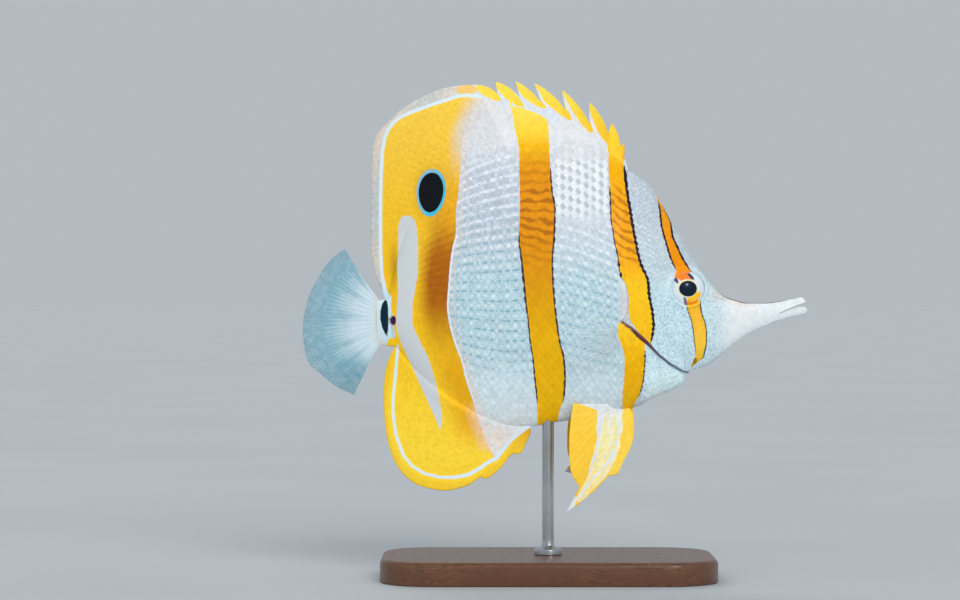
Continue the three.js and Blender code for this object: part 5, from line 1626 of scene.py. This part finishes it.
def tube(path, radius, normal, sides=8, flat=1.0, closed=False):
    """A tube along a path of points with normals; flat squeezes it along the normal."""
    path, normal = np.asarray(path, float), np.asarray(normal, float)
    n = len(path)
    tang = (np.roll(path, -1, 0) - np.roll(path, 1, 0)) if closed else np.gradient(path, axis=0)
    tang /= np.linalg.norm(tang, axis=1, keepdims=True)
    b = np.cross(tang, normal)
    b /= np.linalg.norm(b, axis=1, keepdims=True)
    nn = np.cross(b, tang)
    ang = np.linspace(0, 2 * math.pi, sides, endpoint=False)
    radius = np.broadcast_to(radius, n)[:, None, None]
    ring = path[:, None] + radius * (np.cos(ang)[None, :, None] * b[:, None] + flat * np.sin(ang)[None, :, None] * nn[:, None])
    idx = np.arange(n * sides).reshape(n, sides)
    if closed:
        rows = np.vstack([idx, idx[:1]])
        q = np.vstack([strip(rows[:, j], rows[:, (j + 1) % sides]) for j in range(sides)])
        t = np.zeros((0, 3), int)
        v = ring.reshape(-1, 3)
    else:
        q = np.vstack([strip(idx[:, j], idx[:, (j + 1) % sides]) for j in range(sides)])
        t = np.array([(idx[-1, j], idx[-1, (j + 1) % sides], n * sides) for j in range(sides)] + [(idx[0, (j + 1) % sides], idx[0, j], n * sides + 1) for j in range(sides)])
        v = np.vstack([ring.reshape(-1, 3), path[-1:], path[:1]])
    q, t = outward(v, q, t)
    return v, q, t


def on_skin(x, z, side, lift=0.0):
    """The skin's point over (x, z), with its relief, and the outward normal there."""
    e = 0.15

    def y(a, b):
        return body_half(a, b) - inset_at(a) + relief(a, b) + lift

    n = np.stack([-(y(x + e, z) - y(x - e, z)) / (2 * e), np.ones_like(x), -(y(x, z + e) - y(x, z - e)) / (2 * e)], -1)
    n /= np.linalg.norm(n, axis=1, keepdims=True)
    n[:, 1] *= side
    return np.stack([x, side * y(x, z), z], -1), n


for side in (-1, 1):
    th = np.linspace(0, 2 * math.pi, 120, endpoint=False)
    x, z = EYE_X + 5.42 * np.cos(th), EYE_Z + 5.42 * np.sin(th)
    path, normal = on_skin(x, z, side, 0.02)
    skin.add(*tube(path, 0.34, normal, 10, 0.85, closed=True))
    # the free edge of the gill cover
    g = Along(GILL_LOWER[::1])
    tt = np.linspace(0, 1, 150)
    gx, gz = g(tt)
    path, normal = on_skin(gx + 0.1, gz + 0.1, side, -0.06)
    taper = np.minimum(1, np.minimum(tt / 0.06, (1 - tt) / 0.08) * 0.8 + 0.2)
    skin.add(*tube(path, 0.46 * taper, normal, 10, 0.62))
    g = Along(GILL_EDGE[:6])
    tt = np.linspace(0, 1, 90)
    gx, gz = g(tt)
    path, normal = on_skin(gx, gz, side, -0.08)
    taper = np.minimum(1, np.minimum(tt / 0.2, (1 - tt) / 0.1) * 0.8 + 0.2)
    skin.add(*tube(path, 0.34 * taper, normal, 8, 0.6))
    # nostril rims
    for nx, nz, size in ((50.0, 84.9, 0.62), (52.4, 83.7, 0.46)):
        th = np.linspace(0, 2 * math.pi, 36, endpoint=False)
        x, z = nx + 1.25 * size * np.cos(th), nz + size * np.sin(th)
        path, normal = on_skin(x, z, side, 0.0)
        skin.add(*tube(path, 0.14 + 0.05 * np.cos(th) * -1, normal, 8, 0.9, closed=True))

skin_ob = finish_piece(skin, "skin", coat, (
    "head", "lower_jaw", "gill_cover_right", "gill_cover_left", "trunk", "tail_root",
    "dorsal_fin_spiny", "dorsal_fin_soft", "anal_fin", "pelvic_fin_right", "pelvic_fin_left"), sharp=65)

# the tail fin and the pectoral fins: clear skin between opaque rays


def fan_attributes(s, t, count, split, base, mid_c, tip, ray_c, low=0.5, high=0.95, extra_alpha=0.0, fade=0.0):
    ridge = rays(s, t, count, split, 1.3)
    c = ramp([(0, base), (0.35, base), (0.7, mid_c), (1, tip)], t)
    rc = lin(*ray_c)
    f = (ridge * step(0.05, 0.4, t))[..., None] * 0.42
    c = c * (1 - f) + rc * f
    alpha = low + (high - low) * np.clip(ridge * 0.9 + (1 - step(0.12, 0.5, t)) + extra_alpha, 0, 1)
    alpha = alpha * (1 - fade * step(0.5, 1.0, t))
    n = len(s)
    return {"marks": np.stack([alpha, np.zeros(n), np.zeros(n)], -1), "c_out": c}


P, H, st = caudal()
v, q = shell(P, H)
tail = Piece()
tail.add(v, q)
s_t = np.vstack([st.reshape(-1, 2)] * 2)
a = fan_attributes(s_t[:, 0], s_t[:, 1], 17, (0.4, 0.75), (216, 232, 239), (108, 172, 190), (84, 152, 170), (176, 212, 224), 0.6, 0.85, fade=0.36)
wedge = np.clip(np.sin(s_t[:, 0] * 33 + 1.8 * np.sin(s_t[:, 0] * 7.0)), 0, 1) ** 2 * bell(s_t[:, 1], 0.46, 0.2) * 0.4
a["c_out"] = a["c_out"] * (1 - wedge[:, None]) + lin(70, 150, 172) * wedge[:, None]
px, py = v[:, 0] / 0.3 + 548, 578 - v[:, 2] / 0.3
arc = bell(v[:, 0], TAIL_ARC(v[:, 2]), 0.42)
a["c_out"] = a["c_out"] * (1 - 0.7 * arc[:, None]) + lin(244, 210, 172) * 0.7 * arc[:, None]
low_edge = bell(s_t[:, 0], 0.93, 0.13) * step(0.25, 0.7, s_t[:, 1])
a["c_out"] = a["c_out"] * (1 - 0.6 * low_edge[:, None]) + lin(58, 140, 158) * 0.6 * low_edge[:, None]
finish_piece(tail, "tail_fin", membrane, ("caudal_fin",), attributes=a)

for side, name in ((-1, "right"), (1, "left")):
    P, H, st = pectoral(side)
    v, q = shell(P, H, normals_of(P))
    pec = Piece()
    pec.add(v, q)
    s_t = np.vstack([st.reshape(-1, 2)] * 2)
    a = fan_attributes(s_t[:, 0], s_t[:, 1], 15, (0.45, 0.78), (214, 224, 232), (196, 216, 224), (206, 224, 232), (236, 244, 248), 0.02, 0.24)
    finish_piece(pec, "pectoral_" + name, membrane, ("pectoral_fin_" + name,), attributes=a)

# the coat

for side, name in ((-1, "right"), (1, "left")):
    fore, aft = body_scales(side)
    finish_piece(fore, "scales_fore_" + name, coat, sharp=60, uv=True)
    finish_piece(aft, "scales_aft_" + name, coat, sharp=60, uv=True)
    finish_piece(head_scales(side), "scales_head_" + name, coat, sharp=60, uv=True)
    fins = Piece()
    v, Q, T3, loc, uv = fin_scales(*DORSAL, side, 58, lambda x, z: inside(DORSAL_INSIDE, x, z) + 0.0)
    uv[:, 1] *= 0.5
    fins.add(v, Q, T3, loc=loc, uv=uv)
    v, Q, T3, loc, uv = fin_scales(*ANAL, side, 46, lambda x, z: inside(ANAL_INSIDE, x, z) + 0.0)
    uv[:, 1] = 0.5 + 0.5 * uv[:, 1]
    fins.add(v, Q, T3, loc=loc, uv=uv)
    finish_piece(fins, "scales_fins_" + name, coat, sharp=60, uv=True)


# the eyes


def blob(P, Q, cx, cy, rx, ry, turn=0.0, soft=0.25):
    """A soft oval patch centred at (cx, cy) on the eye's face, in mm."""
    a = math.radians(turn)
    dx, dy = P - cx, Q - cy
    u, w = (dx * math.cos(a) + dy * math.sin(a)) / rx, (-dx * math.sin(a) + dy * math.cos(a)) / ry
    return 1 - step(1 - soft, 1 + soft, np.hypot(u, w))


def face_col(px, py):
    """A place on the eye's domed and turned face, from the marking grid."""
    reach = float(body_half(EYE_X, EYE_Z)) - 0.25
    big = (EYE_R**2 + EYE_BULGE**2) / (2 * EYE_BULGE)
    P, Q = (px - 688) * 0.3, (289 - py) * 0.3
    for _ in range(6):
        h = math.sqrt(max(0.0, big**2 - P * P - Q * Q)) - (big - EYE_BULGE)
        x = EYE_X + P * math.cos(EYE_TURN) + h * math.sin(EYE_TURN)
        out = reach - P * math.sin(EYE_TURN) + h * math.cos(EYE_TURN)
        m = 900 / (900 - out)
        gx, gz = (x + 20.4) * m - 20.4, (EYE_Z + Q - 83.4) * m + 83.4
        P, Q = P + float(col(px)) - gx, Q + float(row(py)) - gz
    return P, Q


glass = eye_material()
for side, name in ((-1, "right"), (1, "left")):
    nr, na = 60, 144
    big = (EYE_R**2 + EYE_BULGE**2) / (2 * EYE_BULGE)
    r = np.r_[np.linspace(0.03, EYE_R - 0.05, nr), EYE_R]
    h = np.sqrt(big**2 - r**2) - (big - EYE_BULGE)
    h[-1] -= 0.12
    r, h = np.r_[r, 5.0, 3.6], np.r_[h, -1.0, -2.2]
    th = np.linspace(0, 2 * math.pi, na, endpoint=False)
    R, A = np.meshgrid(r, th, indexing="ij")
    Hh = np.repeat(h[:, None], na, 1)
    pp, qq = R * np.cos(A), R * np.sin(A)
    cx, cy = face_col(688.4, 288.6)
    lens = np.hypot((pp - cx) / 2.75, (qq - cy) / 2.35)
    Hh = Hh + 0.16 * np.sqrt(np.maximum(0, 1 - np.minimum(1, lens) ** 2)) - 0.06 * bell(lens, 1.12, 0.1) * (R < EYE_R)
    nvec = np.array([math.sin(EYE_TURN), side * math.cos(EYE_TURN), 0])
    pvec = np.array([math.cos(EYE_TURN), -side * math.sin(EYE_TURN), 0])
    C = np.array([EYE_X, side * (float(body_half(EYE_X, EYE_Z)) - 0.25), EYE_Z])
    V = C + pp[..., None] * pvec + qq[..., None] * np.array([0, 0, 1.0]) + Hh[..., None] * nvec
    m = V.shape[0]
    idx = np.arange(m * na).reshape(m, na)
    q = np.vstack([strip(idx[:, j], idx[:, (j + 1) % na]) for j in range(na)])
    v = np.vstack([V.reshape(-1, 3), C + nvec * (EYE_BULGE + 0.16), C - nvec * 2.2])
    t = np.array([(idx[0, (j + 1) % na], idx[0, j], m * na) for j in range(na)] + [(idx[-1, j], idx[-1, (j + 1) % na], m * na + 1) for j in range(na)])
    q, t = outward(v, q, t)
    eye = Piece()
    eye.add(v, q, t)
    Pf, Qf = np.r_[pp.ravel(), 0, 0], np.r_[qq.ravel(), 0, 0]
    Rf = np.hypot(Pf, Qf)
    pupil = (1 - np.hypot((Pf - cx) / 2.75, (Qf - cy) / 2.35)) * 2.5
    ring = (1 - np.hypot((Pf - cx + 0.1) / 3.1, (Qf - cy - 0.1) / 2.7)) * 3.0
    rimd = Rf - 5.0
    c = np.broadcast_to(lin(212, 224, 229), (len(Pf), 3)).copy()

    def paint(f, colour):
        global c
        c = c * (1 - f[:, None]) + lin(*colour) * f[:, None]

    paint(step(3.9, 5.0, Rf) * 0.5, (176, 196, 206))
    paint(blob(Pf, Qf, *face_col(682.0, 273.0), 2.35, 2.3, -20, 0.15), (250, 128, 2))
    paint(blob(Pf, Qf, *face_col(686.0, 278.0), 1.9, 1.3, -10, 0.2), (248, 122, 10))
    paint(blob(Pf, Qf, *face_col(675.4, 279.4), 0.5, 1.35, 30), (70, 44, 100))
    paint(blob(Pf, Qf, *face_col(691.0, 276.4), 0.5, 1.3, 42), (28, 56, 92))
    paint(blob(Pf, Qf, *face_col(692.6, 303.0), 2.0, 1.8, 8, 0.15), (240, 140, 4))
    paint(blob(Pf, Qf, *face_col(690.5, 307.2), 1.0, 0.4, -8) * 0.7, (190, 104, 8))
    paint(blob(Pf, Qf, *face_col(685.4, 301.6), 0.42, 1.6, 18) * 0.9, (84, 70, 126))
    paint(blob(Pf, Qf, *face_col(694.6, 296.8), 2.4, 1.25, 27), (252, 194, 34))
    attrs = {"marks": np.stack([pupil, ring, rimd], -1), "c_out": c,
             "c_pale": np.broadcast_to(lin(238, 222, 170), c.shape), "c_dark": np.broadcast_to(lin(2, 26, 44), c.shape)}
    finish_piece(eye, "eyeball_" + name, glass, ("eye_" + name,), attributes=attrs)


# the stand


def rounded_loop(length, width, corner, count):
    """A rounded rectangle's outline, the same number of points on every corner."""
    out = []
    for cx, cy, a0 in ((1, 1, 0), (-1, 1, 90), (-1, -1, 180), (1, -1, 270)):
        for a in np.radians(np.linspace(a0, a0 + 90, count)):
            out.append((cx * (length / 2 - corner) + corner * math.cos(a), cy * (width / 2 - corner) + corner * math.sin(a)))
    return np.array(out)


def stand_base():
    L, W, Hh, corner, edge = 100, 58, 7, 16, 1.5
    prof = [(10, 0.0), (0.5, 0.0), (0.12, 0.15), (0.0, 0.5)]
    prof += [(edge * (1 - math.cos(a)), Hh - edge + edge * math.sin(a)) for a in np.linspace(0, math.pi / 2, 9)]
    prof += [(3.0, Hh), (8.0, Hh), (14.0, Hh)]
    loops = []
    for inset, z in prof:
        k = rounded_loop(L - 2 * inset, W - 2 * inset, max(1.5, corner - inset), 14)
        loops.append(np.c_[k, np.full(len(k), z)])
    V = np.array(loops)
    m, n = V.shape[:2]
    idx = np.arange(m * n).reshape(m, n)
    q = np.vstack([strip(idx[:, j], idx[:, (j + 1) % n]) for j in range(n)])
    v = np.vstack([V.reshape(-1, 3), [0, 0, 0.0], [0, 0, Hh]])
    t = np.array([(idx[0, (j + 1) % n], idx[0, j], m * n) for j in range(n)] + [(idx[-1, j], idx[-1, (j + 1) % n], m * n + 1) for j in range(n)])
    return v, *outward(v, q, t)


def lathe(profile, count):
    p = np.array(profile, float)
    th = np.linspace(0, 2 * math.pi, count, endpoint=False)
    V = np.stack([p[:, None, 0] * np.cos(th), p[:, None, 0] * np.sin(th), np.repeat(p[:, 1][:, None], count, 1)], -1)
    m = len(p)
    idx = np.arange(m * count).reshape(m, count)
    q = np.vstack([strip(idx[:, j], idx[:, (j + 1) % count]) for j in range(count)])
    v = np.vstack([V.reshape(-1, 3), [0, 0, p[0, 1]], [0, 0, p[-1, 1]]])
    t = np.array([(idx[0, (j + 1) % count], idx[0, j], m * count) for j in range(count)] + [(idx[-1, j], idx[-1, (j + 1) % count], m * count + 1) for j in range(count)])
    return v, *outward(v, q, t)


base = Piece()
base.add(*stand_base())
finish_piece(base, "base_block", wood_material(), ("stand_base",), sharp=50, attributes={})
rod = Piece()
ease = [(4.2 - 0.35 * (1 - math.cos(a)), 8.5 + 0.36 * math.sin(a)) for a in np.linspace(0, math.pi / 2, 5)]
cone = [(1.75 + 1.6 * (1 - k) ** 2.2 + 0.35 * (1 - k), 8.9 + 1.1 * k) for k in np.linspace(0, 1, 9)]
rod.add(*lathe([(4.0, 7.02), (4.2, 7.2)] + ease + cone + [(1.75, 12), (1.75, 30), (1.75, 50)], 64))
finish_piece(rod, "rod_and_collar", steel_material(), ("stand_rod",), sharp=40, attributes={})

# ---------------------------------------------------------------- floor, light and camera

me = bpy.data.meshes.new("floor")
me.from_pydata([(-40, -40, 0), (40, -40, 0), (40, 40, 0), (-40, 40, 0)], [], [(0, 1, 2, 3)])
floor = bpy.data.objects.new("floor", me)
bpy.context.scene.collection.objects.link(floor)
floor.data.materials.append(floor_material())

world = bpy.data.worlds.new("studio")
bpy.context.scene.world = world
world.use_nodes = True
bg = world.node_tree.nodes["Background"]
bg.inputs["Color"].default_value = (*lin(179, 187, 193), 1)
bg.inputs["Strength"].default_value = 1.0


def lamp(kind, name, at, aim, power, colour=(1, 1, 1), size=(0.5, 0.5), angle=20):
    light = bpy.data.lights.new(name, kind)
    if kind == "AREA":
        light.shape = "RECTANGLE"
        light.size, light.size_y = size
    else:
        light.angle = math.radians(angle)
    light.energy = power
    light.color = colour
    ob = bpy.data.objects.new(name, light)
    ob.location = at
    ob.rotation_euler = (Vector(aim) - Vector(at)).to_track_quat("-Z", "Y").to_euler()
    bpy.context.scene.collection.objects.link(ob)
    return ob


CENTRE = (-0.01, 0, 0.088)
lamp("SUN", "key", (0.3, -1.0, 0.78), CENTRE, 1.5, (1.0, 0.985, 0.955), angle=35).visible_glossy = False
lamp("SUN", "fill", (-0.7, -1.0, 0.4), CENTRE, 0.56, (0.95, 0.98, 1.0), angle=50).visible_glossy = False
lamp("SUN", "back", (-0.3, 1.0, 0.9), CENTRE, 0.95, (0.97, 0.98, 1.0), angle=35).visible_glossy = False
lamp("AREA", "gloss", (0.25, -0.52, 0.29), CENTRE, 0.9, size=(0.08, 0.08)).visible_diffuse = False
lamp("SUN", "low_fill", (0.1, -1.0, 0.17), CENTRE, 0.5, (0.96, 0.98, 1.0), angle=14).visible_glossy = False

cam = bpy.data.cameras.new("camera")
cam.sensor_width = 36
cam.lens = 36 * 900 / 288
cam.clip_start, cam.clip_end = 0.01, 100
camera = bpy.data.objects.new("camera", cam)
camera.location = (-20.4 * MM, -0.9, 83.4 * MM)
camera.rotation_euler = (math.pi / 2, 0, 0)
bpy.context.scene.collection.objects.link(camera)
bpy.context.scene.camera = camera
bpy.context.scene.view_settings.view_transform = "Standard"
bpy.context.scene.view_settings.look = "None"
